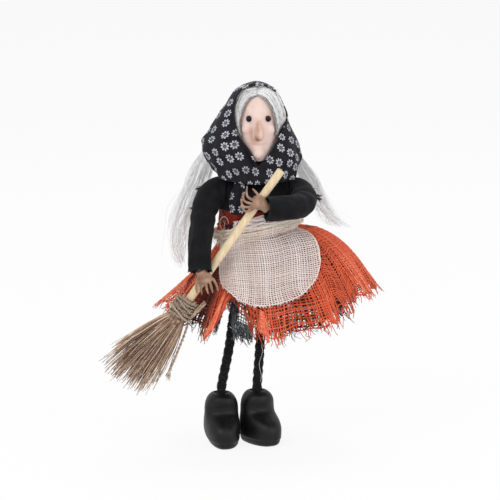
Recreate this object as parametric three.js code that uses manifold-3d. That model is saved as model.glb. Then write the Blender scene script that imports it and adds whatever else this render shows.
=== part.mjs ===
// A kitchen witch doll that holds a straw broom, in millimetres.
// +Z is up and the doll faces -Y. Left and right are the doll's own, so its left is +X.
// The origin is on the floor, at the centre of the bounding box.
import * as THREE from 'three';
import { mergeVertices } from 'three/addons/utils/BufferGeometryUtils.js';
import Module from 'manifold-3d';

const wasm = await Module();
wasm.setup();

// Driving sizes: clearances and cloth
const gap = 0.3; // kept between pieces that touch
const clothThick = 1.2;
const gauzeThick = 0.9;

// Driving sizes: shoes and legs
const shoeTall = 36;
const shoeHalfWide = 11.8;
const heelReach = 10.4; // from the ankle's axis back
const toeReach = 25; // from the ankle's axis forward
const cordRadius = 3.3;
const cordSunk = 6; // how deep the leg cord sits in the shoe
const legLong = 92; // from the cord's lower end to the hip's axis
const legWireRadius = 0.9;
const rightAnkle = { x: -12.9, y: -1, toeOut: 8 };
const leftAnkle = { x: 11.7, y: 6, toeOut: 28 };
const hipSpread = 15;
const hipShift = -2.5; // the hips stand a little to the doll's right of the body's axis

// Driving sizes: body, neck and head
const bodyX = 12;
const torsoTall = 58;
const torsoHalfWide = 24.5;
const torsoHalfDeep = 17;
const shoulderDrop = 9; // from the torso's top down to the arm wire
const shoulderY = -3;
const neckRadius = 4;
const neckLong = 13.4; // bare dowel between torso and head
const neckSunk = 9; // in the torso
const neckInHead = 14;
const headX = 12.5;
const headY = -3;
const headTall = 50;
const headHalfWide = 15.5;
const headHalfDeep = 16;
const beadRadius = 1.8;
const eyeSpread = 13;
const eyeUp = 31; // above the chin
const noseRadius = 3.1;
const noseLong = 13.5;

// Driving sizes: scarf and hair
const scarfThick = 1;
const scarfTall = 53.4; // from the chin to the crown
const tailHalfDeep = 1.1; // the scarf's hanging end
const faceOpenTall = 52;
const faceOpenHalfWide = 17;
const lockHalfWide = 5;
const lockHalfDeep = 3.4;
const hairHalfDeep = 2;

// Driving sizes: skirt, petticoat, apron, bodice and belt
const waistUp = 24.5; // above the torso's base
const waistTilt = 0.22; // the belt rises to the doll's left
const bandUp = 8; // the gathered waistband above the waist
const bandDown = 4;
const bodiceUp = 19; // the bodice's lower edge above the torso's base
const bodiceTall = 31;
const hemX = 20;
const hemHalfWide = 72;
const hemHalfDeep = 49;
const petticoatHalfWide = 56;
const petticoatHalfDeep = 38;
const petticoatExtra = 4; // how far it hangs below the skirt
const foldDeep = 3;
const foldCount = 11;
const apronDrop = 0.72; // share of the skirt's length
const beltRadius = 1.1;
const beltPitch = 2.8;
const beltLoops = 2;

// Driving sizes: arms and hands
const armWireRadius = 1;
const sleeveRadius = 8.3;
const armLift = 12; // degrees, the range that the sleeves are cut clear for
const fingerRadius = 0.95;

// Driving sizes: broom
const handleRadius = 2.75;
const handleLong = 120;
const handleTop = new THREE.Vector3(27.5, -35, 194.5);
const broomLean = 35.1; // degrees from the vertical, towards the doll's right
const bindingStart = 107; // along the broom from the handle's top
const twineRadius = 0.85;
const twinePitch = 2.3;
const twineLoops = 6;
const neckWall = 2.6; // straw packed round the handle under the twine
const strawCount = 300;
const strawRadius = 0.25;
const strawLong = 51;
const strawLongest = 8; // added to the longest straws
const bundleRadius = 6.8; // of the straws where they leave the binding
const brushHalfWide = 21;
const brushHalfDeep = 8.5;
const brushShift = -5; // the brush is worn towards its upper side
const tailLong = 35.5;

// Heights and places that follow
const tau = 2 * Math.PI;
const hipZ = shoeTall - cordSunk + legLong;
const torsoBase = hipZ + cordRadius + gap;
const torsoTop = torsoBase + torsoTall;
const waistZ = torsoBase + waistUp;
const shoulderZ = torsoTop - shoulderDrop;
const chinZ = torsoTop + neckLong;
const hips = [
  { name: 'right', x: bodyX + hipShift - hipSpread / 2, ankle: rightAnkle },
  { name: 'left', x: bodyX + hipShift + hipSpread / 2, ankle: leftAnkle },
];

function point(x, y, z) {
  return new THREE.Vector3(x, y, z);
}

function mix(start, end, share) {
  return start + (end - start) * share;
}

function radians(degrees) {
  return (degrees * Math.PI) / 180;
}

// A ring of points round `centre`, counter-clockwise about the direction `along`.
function ring(centre, along, across, halfAcross, halfOther, sides) {
  const forward = along.clone().normalize();
  const first = across.clone().addScaledVector(forward, -across.dot(forward)).normalize();
  const second = new THREE.Vector3().crossVectors(forward, first);
  const points = [];
  for (let i = 0; i < sides; i += 1) {
    const angle = (tau * i) / sides;
    const place = centre.clone();
    place.addScaledVector(first, halfAcross * Math.cos(angle));
    place.addScaledVector(second, halfOther * Math.sin(angle));
    points.push(place);
  }
  return points;
}

// A level ring whose front and back reach differ.
function levelRing(x, y, z, halfWide, halfDeep, sides) {
  return ring(point(x, y, z), point(0, 0, 1), point(1, 0, 0), halfWide, halfDeep, sides);
}

// Rings along a curve, with the radii as functions of the share of its length.
function ringsAlong(curve, steps, across, halfAcross, halfOther, sides) {
  const rings = [];
  for (let i = 0; i <= steps; i += 1) {
    const share = i / steps;
    const place = curve.getPointAt(share);
    const along = curve.getTangentAt(share);
    rings.push(ring(place, along, across, halfAcross(share), halfOther(share), sides));
  }
  return rings;
}

// A skin over a stack of rings. Its ends are capped, or joined to each other.
function skin(rings, joined = false) {
  const positions = [];
  const triangle = (...corners) => {
    corners.forEach((corner) => positions.push(corner.x, corner.y, corner.z));
  };
  const last = joined ? rings.length : rings.length - 1;
  for (let r = 0; r < last; r += 1) {
    const lower = rings[r];
    const upper = rings[(r + 1) % rings.length];
    lower.forEach((corner, i) => {
      const j = (i + 1) % lower.length;
      triangle(corner, lower[j], upper[j]);
      triangle(corner, upper[j], upper[i]);
    });
  }
  if (!joined) {
    const caps = [rings[0].slice().reverse(), rings[rings.length - 1]];
    caps.forEach((cap) => {
      const middle = cap.reduce((sum, corner) => sum.add(corner), point(0, 0, 0));
      middle.divideScalar(cap.length);
      cap.forEach((corner, i) => triangle(corner, cap[(i + 1) % cap.length], middle));
    });
  }
  const geometry = new THREE.BufferGeometry();
  geometry.setAttribute('position', new THREE.Float32BufferAttribute(positions, 3));
  return geometry;
}

// A bent plate between an outer and an inner grid of points, rows from top to bottom.
function plate(outer, inner) {
  const rings = outer.map((row, r) => [...row, ...inner[r].slice().reverse()]);
  const geometry = skin(rings);
  const kept = Array.from(geometry.attributes.position.array);
  const caps = 2 * 3 * 3 * rings[0].length;
  kept.splice(kept.length - caps, caps);
  [[0, 1], [outer.length - 1, 0]].forEach(([row, turned]) => {
    for (let c = 0; c + 1 < outer[row].length; c += 1) {
      const quad = [outer[row][c], outer[row][c + 1], inner[row][c + 1], inner[row][c]];
      const order = turned ? [0, 2, 1, 0, 3, 2] : [0, 1, 2, 0, 2, 3];
      order.forEach((corner) => kept.push(quad[corner].x, quad[corner].y, quad[corner].z));
    }
  });
  geometry.setAttribute('position', new THREE.Float32BufferAttribute(kept, 3));
  return geometry;
}

function solidOf(geometry) {
  const bare = geometry.clone();
  bare.deleteAttribute('normal');
  bare.deleteAttribute('uv');
  const merged = mergeVertices(bare, 1e-4);
  return new wasm.Manifold(new wasm.Mesh({
    numProp: 3,
    vertProperties: merged.attributes.position.array,
    triVerts: new Uint32Array(merged.index.array),
  }));
}

function geometryOf(solid) {
  const mesh = solid.getMesh();
  const geometry = new THREE.BufferGeometry();
  geometry.setAttribute('position', new THREE.BufferAttribute(mesh.vertProperties, 3));
  geometry.setIndex(new THREE.BufferAttribute(mesh.triVerts, 1));
  return geometry;
}

// A straight round bar between two points, used for pins, bores and the handle.
function bar(start, end, radius, sides) {
  const geometry = new THREE.CylinderGeometry(radius, radius, start.distanceTo(end), sides);
  const turn = new THREE.Quaternion();
  turn.setFromUnitVectors(point(0, 1, 0), end.clone().sub(start).normalize());
  geometry.applyQuaternion(turn);
  const middle = start.clone().add(end).divideScalar(2);
  return geometry.translate(middle.x, middle.y, middle.z);
}

// A round tube of one radius along a curve.
function tubeAlong(curve, steps, radius, sides) {
  const section = new THREE.Shape(
    Array.from({ length: sides }, (_, i) => new THREE.Vector2(
      radius * Math.cos((tau * i) / sides),
      radius * Math.sin((tau * i) / sides),
    )),
  );
  return new THREE.ExtrudeGeometry(section, { steps, extrudePath: curve, curveSegments: 1 });
}

// A smooth value round the body, from a list of [degrees, value] that starts at 0 degrees.
function around(list, degrees) {
  const turn = ((degrees % 360) + 360) % 360;
  const after = list.findIndex(([at]) => at > turn);
  const [startAt, start] = after < 0 ? list[list.length - 1] : list[after - 1];
  const [endAt, end] = after < 0 ? [list[0][0] + 360, list[0][1]] : list[after];
  const share = (turn - startAt) / (endAt - startAt);
  return mix(start, end, (1 - Math.cos(Math.PI * share)) / 2);
}

const doll = new THREE.Group();

function addPiece(name, geometry, color, roughness, metalness = 0) {
  const material = new THREE.MeshStandardMaterial({ color, roughness, metalness });
  const mesh = new THREE.Mesh(geometry, material);
  mesh.name = name;
  doll.add(mesh);
}

// Shoes: chunky closed clogs with a flat sole and a round socket for the leg cord.
// Each row is height, half width, reach back and reach forward, as shares of the driving sizes.
const shoeRows = [
  [0, 0.72, 0.78, 0.78],
  [0.035, 0.84, 0.92, 0.89],
  [0.14, 0.97, 1, 0.98],
  [0.32, 1, 1, 1],
  [0.46, 0.98, 1, 0.92],
  [0.56, 0.95, 0.98, 0.74],
  [0.63, 0.92, 0.97, 0.53],
  [0.76, 0.86, 0.94, 0.44],
  [0.9, 0.74, 0.86, 0.4],
  [0.97, 0.62, 0.76, 0.34],
  [1, 0.5, 0.58, 0.26],
];

function shoeGeometry() {
  const sides = 16;
  const rings = shoeRows.map(([up, wide, back, front]) => {
    const points = levelRing(0, 0, up * shoeTall, wide * shoeHalfWide, 1, sides);
    points.forEach((place) => {
      place.y *= place.y > 0 ? back * heelReach : front * toeReach;
    });
    return points;
  });
  const floor = shoeTall - cordSunk - gap;
  const socket = bar(point(0, 0, floor), point(0, 0, shoeTall + 1), cordRadius + gap, 12);
  const tunnelEnd = point(0, 0, floor - cordSunk);
  const tunnel = bar(tunnelEnd, point(0, 0, floor + 1), legWireRadius + gap, 8);
  return geometryOf(solidOf(skin(rings)).subtract(solidOf(socket)).subtract(solidOf(tunnel)));
}

function legCurve(hip) {
  const foot = shoeTall - cordSunk;
  const { x, y } = hip.ankle;
  return new THREE.CatmullRomCurve3([
    point(x, y, foot),
    point(x, y, foot + cordSunk + 2),
    point(mix(x, hip.x, 0.36), mix(y, 0, 0.4), foot + legLong * 0.4),
    point(mix(x, hip.x, 0.62), mix(y, 0, 0.8), foot + legLong * 0.7),
    point(hip.x, 0, hipZ - cordRadius),
    point(hip.x, 0, hipZ),
  ]);
}

function legCordGeometry(hip) {
  const sides = 8;
  const steps = 8;
  const curve = legCurve(hip);
  const across = point(1, 0, 0);
  const bore = () => legWireRadius + 2 * gap;
  const wall = () => cordRadius;
  const inner = ringsAlong(curve, steps, across, bore, bore, sides).reverse();
  const outer = ringsAlong(curve, steps, across, wall, wall, sides);
  const dome = [35, 70].map((degrees) => {
    const radius = cordRadius * Math.cos(radians(degrees));
    return levelRing(hip.x, 0, hipZ + cordRadius * Math.sin(radians(degrees)), radius, radius, sides);
  });
  return skin([...inner, ...outer, ...dome]);
}

function legWireGeometry(hip) {
  const curve = legCurve(hip);
  const end = curve.points[0].clone();
  end.z -= cordSunk - gap;
  const top = curve.points[curve.points.length - 1].clone();
  top.z -= 2 * gap;
  const inside = curve.points.slice(0, -1);
  return tubeAlong(new THREE.CatmullRomCurve3([end, ...inside, top]), 14, legWireRadius, 6);
}

hips.forEach((hip) => {
  const shoe = shoeGeometry();
  shoe.rotateZ(radians(hip.ankle.toeOut));
  shoe.translate(hip.ankle.x, hip.ankle.y, 0);
  addPiece(`${hip.name}_shoe`, shoe, 0x1e1e21, 0.42);
  addPiece(`${hip.name}_leg_cord`, legCordGeometry(hip), 0x1b1b1c, 0.9);
  addPiece(`${hip.name}_leg_wire`, legWireGeometry(hip), 0x9a9a98, 0.4, 1);
});

// Torso: a stuffed cloth body. Each row is height, half width and half depth, as shares.
const torsoRows = [
  [0, 0.74, 0.76],
  [0.07, 0.92, 0.92],
  [0.3, 0.99, 1],
  [0.6, 1, 1.03],
  [0.8, 0.98, 0.96],
  [0.92, 0.8, 0.76],
  [1, 0.5, 0.52],
];

function torsoSolid(grown) {
  const rings = torsoRows.map(([up, wide, deep], row) => levelRing(
    bodyX,
    0,
    torsoBase + up * torsoTall + (row === 0 ? -grown : 0) + (up === 1 ? grown : 0),
    wide * torsoHalfWide + grown,
    deep * torsoHalfDeep + grown,
    20,
  ));
  return solidOf(skin(rings));
}

// The arm wire runs straight through the torso at the shoulders.
function shoulderBar(radius) {
  const reach = torsoHalfWide + 10;
  const start = point(bodyX - reach, shoulderY, shoulderZ);
  return solidOf(bar(start, point(bodyX + reach, shoulderY, shoulderZ), radius, 12));
}

function neckBar(bottom, top, radius) {
  return bar(point(headX, headY, bottom), point(headX, headY, top), radius, 16);
}

const neckBottom = torsoTop - neckSunk;
const neckTop = chinZ + neckInHead;
const torso = torsoSolid(0)
  .subtract(shoulderBar(armWireRadius + gap))
  .subtract(solidOf(neckBar(torsoTop - neckSunk + armWireRadius, torsoTop + 1, neckRadius + gap)));
addPiece('torso', geometryOf(torso), 0xd9cdbd, 0.95);
addPiece(
  'neck_dowel',
  neckBar(neckBottom + armWireRadius + gap, neckTop, neckRadius),
  0xd9b98a,
  0.7,
);

// The largest body of a cut piece.
function mainBody(cut) {
  return cut.decompose().sort((a, b) => b.volume() - a.volume())[0];
}

function slab(bottom, top) {
  const size = 400;
  const box = new THREE.BoxGeometry(size, size, top - bottom);
  return solidOf(box.translate(0, 0, (bottom + top) / 2));
}

const bodiceBottom = torsoBase + bodiceUp;
const bodice = torsoSolid(gap + clothThick)
  .subtract(torsoSolid(gap))
  .intersect(slab(bodiceBottom, bodiceBottom + bodiceTall))
  .subtract(shoulderBar(armWireRadius + gap));
addPiece('bodice', geometryOf(bodice), 0x8f1f16, 0.95);

// Skirt, petticoat and apron share one bell. Each row is [degrees round the body, how far the hem
// hangs below the waist]; 0 degrees is the doll's left and 270 its front, where the hem arches up
// over the right leg.
const hemDrops = [
  [0, 39], [18, 46], [45, 56], [80, 60], [115, 61], [150, 56], [180, 52], [205, 60], [228, 65],
  [240, 72], [250, 51], [262, 66], [272, 71], [288, 65], [305, 59], [322, 54], [332, 43],
];
const waistHalfWide = torsoHalfWide + 2 * gap + clothThick;
const waistHalfDeep = torsoHalfDeep * 1.02 + 2 * gap + clothThick;

// A fall of -1 to 0 runs down the waistband, and 0 to 1 from there to the hem.
function bellPoint(degrees, fall, hemWide, hemDeep, extra, outset) {
  const cos = Math.cos(radians(degrees));
  const sin = Math.sin(radians(degrees));
  const below = Math.max(0, fall);
  const spread = below ** (0.82 - 0.38 * cos); // round on the doll's left, straight on its right
  const fold = foldDeep * below ** 2 * Math.cos(foldCount * radians(degrees - 240));
  const waist = waistZ + waistTilt * waistHalfWide * cos;
  const hem = waistZ - around(hemDrops, degrees) - extra;
  const height = fall < 0 ? mix(-bandDown, bandUp, -fall) : mix(-bandDown, hem - waist, fall);
  return point(
    mix(bodyX, hemX, spread) + (mix(waistHalfWide, hemWide, spread) + fold + outset) * cos,
    (mix(waistHalfDeep, hemDeep, spread) + fold + outset) * sin,
    waist + height,
  );
}

function bellRing(sides, ...where) {
  return Array.from({ length: sides }, (_, i) => bellPoint((360 * i) / sides, ...where));
}

function bellGeometry(sides, falls, hemWide, hemDeep, extra, thick) {
  const outer = falls.map((fall) => bellRing(sides, fall, hemWide, hemDeep, extra, thick));
  const inner = falls.map((fall) => bellRing(sides, fall, hemWide, hemDeep, extra, 0));
  return skin([...inner, ...outer.reverse()], true);
}

function skirtSolid(thick) {
  const falls = [-1, 0, 0.12, 0.36, 0.68, 1];
  return solidOf(bellGeometry(44, falls, hemHalfWide, hemHalfDeep, 0, thick));
}

addPiece('skirt', geometryOf(skirtSolid(clothThick)), 0xd8452a, 0.95);
addPiece(
  'petticoat',
  bellGeometry(
    33,
    [0.16, 0.4, 0.7, 1],
    petticoatHalfWide,
    petticoatHalfDeep,
    petticoatExtra,
    clothThick,
  ),
  0x5f6664,
  0.95,
);

// Apron: gauze over the skirt's front, with a round lower edge.
const apronStart = 228;
const apronEnd = 316;

function apronGeometry() {
  const columns = 14;
  const falls = [0, 0.1, 0.3, 0.55, 0.8, 1];
  const apronPoint = (column, fall, outset) => {
    const side = (2 * column) / columns - 1;
    const reach = apronDrop * (0.3 + 0.7 * (1 - Math.abs(side) ** 2.6) ** (1 / 2.6));
    const degrees = mix(apronStart, apronEnd, column / columns);
    return bellPoint(degrees, fall < 0 ? fall : fall * reach, hemHalfWide, hemHalfDeep, 0, outset);
  };
  const grid = (outset) => [-0.94, ...falls].map((fall) => (
    Array.from({ length: columns + 1 }, (_, column) => apronPoint(column, fall, outset))));
  const inside = clothThick + gap;
  const sheet = solidOf(plate(grid(inside), grid(inside + gauzeThick)));
  const skirtClear = skirtSolid(clothThick + gap);
  return geometryOf(sheet.subtract(skirtClear));
}

addPiece('apron', apronGeometry(), 0xe2d2cb, 0.95);

// The smallest space between parts of one winding that are at least half a turn apart.
function leastSelfGap(curve, loops, radius) {
  const perLoop = 36;
  const points = curve.getPoints(loops * perLoop);
  let least = Infinity;
  points.forEach((place, i) => {
    for (let j = i + perLoop / 2; j < points.length; j += 1) {
      least = Math.min(least, place.distanceTo(points[j]) - 2 * radius);
    }
  });
  return least;
}

class Winding extends THREE.Curve {
  constructor(loops, placeAt) {
    super();
    this.loops = loops;
    this.placeAt = placeAt;
  }

  getPoint(share, target = new THREE.Vector3()) {
    return target.copy(this.placeAt(share * this.loops));
  }
}

function addWinding(name, winding, radius, color) {
  const geometry = tubeAlong(winding, winding.loops * 24, radius, 6);
  const least = leastSelfGap(winding, winding.loops, radius);
  console.log(`${name}: least gap to itself ${least.toFixed(2)} mm`);
  addPiece(name, geometry, color, 0.95);
}

// Belt: twine wound round the waist over the skirt and the apron.
const beltOut = clothThick + gauzeThick + 3 * gap + beltRadius;
const belt = new Winding(beltLoops, (turns) => {
  const angle = tau * (turns + 0.6);
  const rise = (turns - beltLoops / 2) * beltPitch;
  return point(
    bodyX + (waistHalfWide + beltOut) * Math.cos(angle),
    (waistHalfDeep + beltOut) * Math.sin(angle),
    waistZ + rise + waistTilt * waistHalfWide * Math.cos(angle) + beltRadius,
  );
});
addWinding('belt_cord', belt, beltRadius, 0xae977c);

// The knot sits on the belt at the doll's right front.
function beltKnotGeometry() {
  const angle = radians(222);
  const half = 4;
  const out = beltOut + beltRadius + half + gap;
  const geometry = new THREE.SphereGeometry(half, 10, 8);
  geometry.scale(1.15, 1, 1.2);
  return geometry.translate(
    bodyX + (waistHalfWide + out) * Math.cos(angle),
    (waistHalfDeep + out) * Math.sin(angle),
    waistZ + waistTilt * waistHalfWide * Math.cos(angle),
  );
}

addPiece('belt_knot', beltKnotGeometry(), 0xb5a48c, 0.95);

// Head: a stuffed cloth egg with a narrow chin. Rows as for the torso.
const headRows = [
  [0, 0.26, 0.34],
  [0.06, 0.44, 0.54],
  [0.18, 0.68, 0.74],
  [0.36, 0.9, 0.93],
  [0.56, 1, 1],
  [0.74, 0.95, 0.96],
  [0.87, 0.76, 0.8],
  [0.96, 0.48, 0.52],
  [1, 0.24, 0.26],
];

function headSolid(grown) {
  const rings = headRows.map(([up, wide, deep]) => levelRing(
    headX,
    headY,
    chinZ + up * headTall + (up === 0 ? -grown : 0) + (up === 1 ? grown : 0),
    wide * headHalfWide + grown,
    deep * headHalfDeep + grown,
    18,
  ));
  return solidOf(skin(rings));
}

const neckSocket = solidOf(neckBar(chinZ - 2, neckTop + gap, neckRadius + gap));
addPiece('head', geometryOf(headSolid(0).subtract(neckSocket)), 0xeccfc4, 0.9);
const headClear = headSolid(gap);

function faceY(offset) {
  return headY - headHalfDeep * Math.sqrt(1 - (offset / headHalfWide) ** 2);
}

function noseGeometry() {
  const root = chinZ + eyeUp - 1;
  const front = faceY(0);
  const curve = new THREE.CatmullRomCurve3([
    point(headX, front, root),
    point(headX + 0.1, front - noseRadius * 0.6, root - noseLong * 0.4),
    point(headX + 0.3, front - noseRadius * 1.1, root - noseLong * 0.8),
    point(headX + 0.3, front - noseRadius * 1.2, root - noseLong),
  ]);
  const radius = (share) => noseRadius * (0.5 + 0.5 * Math.sin(Math.PI * (0.12 + 0.72 * share)));
  return skin(ringsAlong(curve, 6, point(1, 0, 0), radius, radius, 10));
}

addPiece('nose', geometryOf(solidOf(noseGeometry()).subtract(headClear)), 0xe3bfb0, 0.9);

[['right', -1], ['left', 1]].forEach(([side, sign]) => {
  const offset = (sign * eyeSpread) / 2;
  const bead = new THREE.SphereGeometry(beadRadius, 10, 8);
  bead.translate(headX + offset, faceY(offset) - beadRadius * 0.3, chinZ + eyeUp);
  const seated = solidOf(bead).subtract(headClear);
  addPiece(`${side}_eye_bead`, geometryOf(seated), 0x17110f, 0.15);
});

// Headscarf. Each row is height above the chin, sideways shift of the centre, half width and
// half depth, in millimetres, and the hem is [degrees, height above the chin].
const scarfY = -2;
const scarfRows = [
  [-18, -1, 25.5, 21],
  [-10, -1.5, 28, 22.5],
  [1, -3.5, 32, 23.5],
  [7, -5.2, 33.3, 24],
  [14, -6.4, 32.2, 23.5],
  [20, -5.6, 28.4, 22.5],
  [29, -4.6, 23.9, 21],
  [39, -2.6, 18.8, 18.8],
  [46, -2, 15.2, 16.6],
  [50.4, -1.6, 12, 13.6],
  [scarfTall - gap, -1.4, 8.5, 9.5],
];
const scarfHem = [
  [0, -4], [12, 2], [27, 12], [45, 6], [90, -14], [135, 6], [153, 12], [168, 2], [180, -4],
  [205, -10], [270, -14], [335, -10],
];

// The scarf's level section at a height, as [shift, half width, half depth].
function scarfSection(up) {
  const top = scarfRows.length - 1;
  const above = up < scarfRows[top][0] ? Math.max(1, scarfRows.findIndex(([at]) => at >= up)) : top;
  const [lowAt, ...low] = scarfRows[above - 1];
  const [highAt, ...high] = scarfRows[above];
  return low.map((value, i) => mix(value, high[i], (up - lowAt) / (highAt - lowAt)));
}

function scarfShell(grown) {
  const sides = 30;
  const levels = 7;
  const crown = scarfTall - gap;
  const wall = (level, inset) => Array.from({ length: sides }, (_, i) => {
    const angle = (tau * i) / sides;
    const low = around(scarfHem, (360 * i) / sides) - grown;
    const up = mix(low, crown, 1 - (1 - level / levels) ** 1.3);
    const [shift, wide, deep] = scarfSection(up);
    const rise = level === levels ? gap - inset : 0;
    return point(
      headX + shift + (wide - inset) * Math.cos(angle),
      scarfY + (deep - inset) * Math.sin(angle),
      chinZ + up + rise,
    );
  });
  const rings = [];
  for (let level = levels; level >= 0; level -= 1) rings.push(wall(level, scarfThick + grown));
  for (let level = 0; level <= levels; level += 1) rings.push(wall(level, -grown));
  return solidOf(skin(rings));
}

// The face opening is pointed at the chin and broad at the eyes. Each row is a corner as shares
// of the opening's half width and height.
function faceOpening() {
  const corners = [
    [-0.12, 0], [0.12, 0.06], [0.44, 0.2], [0.74, 0.4], [1.03, 0.6], [0.86, 0.77], [0.55, 0.95],
    [0.3, 1], [-0.35, 1], [-0.78, 0.94], [-0.98, 0.8], [-0.97, 0.62], [-0.76, 0.4], [-0.3, 0.2],
  ];
  const outline = new THREE.Shape(corners.map(([across, up]) => (
    new THREE.Vector2(across * faceOpenHalfWide, up * faceOpenTall))));
  const depth = 60;
  const cut = new THREE.ExtrudeGeometry(outline, { depth, bevelEnabled: false });
  cut.rotateX(Math.PI / 2);
  return solidOf(cut.translate(headX + 0.8, headY, chinZ - 1));
}

addPiece('headscarf', geometryOf(scarfShell(0).subtract(faceOpening())), 0x1d1d24, 0.95);
const scarfClear = scarfShell(gap);

// One loose end of the scarf's knot hangs over the chest and lies on the bodice.
function scarfTailGeometry() {
  const x = headX - 14;
  const share = (x - bodyX) / torsoHalfWide;
  const round = Math.sqrt(1 - share ** 2);
  const out = clothThick + tailHalfDeep + 2 * gap;
  const chest = (deep) => -(torsoHalfDeep * deep * round + out);
  const curve = new THREE.CatmullRomCurve3([
    point(x + 0.8, chest(0.98), torsoTop + 1),
    point(x, chest(0.99), torsoTop - 6),
    point(x - 0.3, chest(1), torsoTop - 13),
    point(x + 0.4, chest(1.03), torsoTop - 19.5),
  ]);
  const across = point(1, (torsoHalfDeep * share) / (torsoHalfWide * round), 0);
  const wide = (along) => 3 + 1.6 * along;
  const deep = () => tailHalfDeep;
  return skin(ringsAlong(curve, 6, across, wide, deep, 10));
}

addPiece('scarf_tail', scarfTailGeometry(), 0x1d1d24, 0.95);

// Hair: a lock on each side of the face, from the parting down into the scarf.
const lockPaths = {
  right: [
    point(headX - 3.4, headY - 12, chinZ + 48.5),
    point(headX - 9, headY - 13.5, chinZ + 43),
    point(headX - 14.5, headY - 11, chinZ + 30),
    point(headX - 13, headY - 11, chinZ + 18),
    point(headX - 9, headY - 11.5, chinZ + 10),
  ],
  left: [
    point(headX + 2.6, headY - 12, chinZ + 48.5),
    point(headX + 8, headY - 13.5, chinZ + 43),
    point(headX + 12.6, headY - 11.5, chinZ + 31),
    point(headX + 12.4, headY - 10.5, chinZ + 20),
    point(headX + 9.5, headY - 10.5, chinZ + 12),
  ],
};

Object.entries(lockPaths).forEach(([side, path]) => {
  const swell = (share) => 0.45 + 0.55 * Math.sin(Math.PI * (0.1 + 0.75 * share));
  const wide = (share) => lockHalfWide * swell(share);
  const deep = (share) => lockHalfDeep * swell(share);
  const rings = ringsAlong(new THREE.CatmullRomCurve3(path), 9, point(0, 1, 0), deep, wide, 10);
  const lock = solidOf(skin(rings)).subtract(headClear).subtract(scarfClear);
  addPiece(`${side}_front_lock`, geometryOf(mainBody(lock)), 0xbdbcc0, 0.7);
});

// Long hair: a flat curtain on each side that leaves the scarf behind the shoulder.
const curtainPaths = {
  right: [
    point(headX - 26.5, 8, chinZ + 8),
    point(headX - 36, 12.5, chinZ - 2),
    point(headX - 42, 15.5, chinZ - 16),
    point(headX - 47, 16, chinZ - 32),
    point(headX - 51.5, 15, chinZ - 50),
    point(headX - 53, 14, chinZ - 64),
  ],
  left: [
    point(headX + 16, 8, chinZ + 8),
    point(headX + 27, 12.5, chinZ),
    point(headX + 35, 15.5, chinZ - 12),
    point(headX + 42, 16, chinZ - 26),
    point(headX + 48, 15, chinZ - 38),
    point(headX + 51, 14, chinZ - 45),
  ],
};

Object.entries(curtainPaths).forEach(([side, path]) => {
  const wide = (share) => mix(4, 9.5, Math.sin(Math.PI * Math.min(1, 0.08 + 0.8 * share)));
  const deep = () => hairHalfDeep;
  const curve = new THREE.CatmullRomCurve3(path);
  const whole = solidOf(skin(ringsAlong(curve, 10, point(0, 1, 0), deep, wide, 10)));
  addPiece(`${side}_long_hair`, geometryOf(mainBody(whole.subtract(scarfClear))), 0xcfced2, 0.7);
});

// Arms: one wire runs from hand to hand through both sleeves and the torso.
const rightArm = [
  point(bodyX - torsoHalfWide + 3, shoulderY, shoulderZ),
  point(bodyX - torsoHalfWide - 1.8, shoulderY, shoulderZ),
  point(-19.5, -7.5, shoulderZ - 2.5),
  point(-24, -17, shoulderZ - 9.5),
  point(-26, -28, shoulderZ - 21.5),
  point(-26.4, -36.5, shoulderZ - 34),
  point(-26.2, -42.5, shoulderZ - 47),
];
const leftArm = [
  point(bodyX + torsoHalfWide - 3, shoulderY, shoulderZ),
  point(bodyX + torsoHalfWide + 1.8, shoulderY, shoulderZ),
  point(42.3, -9.5, shoulderZ - 2),
  point(42.6, -20, shoulderZ - 5),
  point(36, -30, shoulderZ - 6),
  point(26.5, -35.5, shoulderZ - 5.6),
  point(17.8, -38, shoulderZ - 5),
];
const rightPalm = point(-23.4, -40, shoulderZ - 52);
const leftPalm = point(13, -40, shoulderZ - 0.6);
const armCurve = new THREE.CatmullRomCurve3([
  rightPalm,
  ...rightArm.slice().reverse(),
  point(bodyX, shoulderY, shoulderZ),
  ...leftArm,
  leftPalm,
]);

// The share of the arm wire's length at which it passes a point.
function shareAt(place) {
  const samples = 600;
  let best = 0;
  for (let i = 1; i <= samples; i += 1) {
    const nearer = armCurve.getPointAt(i / samples).distanceTo(place)
      < armCurve.getPointAt(best).distanceTo(place);
    if (nearer) best = i / samples;
  }
  return best;
}

// The stretch of the arm wire from a shoulder to a cuff, and `past` millimetres beyond it.
class ArmStretch extends THREE.Curve {
  constructor(path, past = 0) {
    super();
    this.start = shareAt(path[0]);
    const cuff = shareAt(path[path.length - 1]);
    this.end = cuff + (Math.sign(cuff - this.start) * past) / armCurve.getLength();
  }

  getPoint(share, target = new THREE.Vector3()) {
    return target.copy(armCurve.getPointAt(mix(this.start, this.end, share)));
  }
}

addPiece('arm_wire', tubeAlong(armCurve, 48, armWireRadius, 6), 0x9a9a98, 0.4, 1);

// The torso and bodice as the sleeves meet them over the whole lift of the arms.
function sweptTorso() {
  const clear = torsoSolid(2 * gap + clothThick).add(torsoSolid(gap));
  const steps = 4;
  let swept = clear;
  for (let i = 1; i <= steps; i += 1) {
    const turned = clear
      .translate([0, -shoulderY, -shoulderZ])
      .rotate([(armLift * i) / steps, 0, 0])
      .translate([0, shoulderY, shoulderZ]);
    swept = swept.add(turned);
  }
  return swept;
}

const torsoClear = sweptTorso();

const broomDown = point(-Math.sin(radians(broomLean)), 0, -Math.cos(radians(broomLean)));
const broomSide = point(Math.cos(radians(broomLean)), 0, -Math.sin(radians(broomLean)));

function alongBroom(distance, side = 0, depth = 0) {
  const place = handleTop.clone();
  place.addScaledVector(broomDown, distance);
  place.addScaledVector(broomSide, side);
  place.y -= depth;
  return place;
}

const handleClear = solidOf(bar(alongBroom(-5), alongBroom(handleLong), handleRadius + gap, 16));

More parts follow.
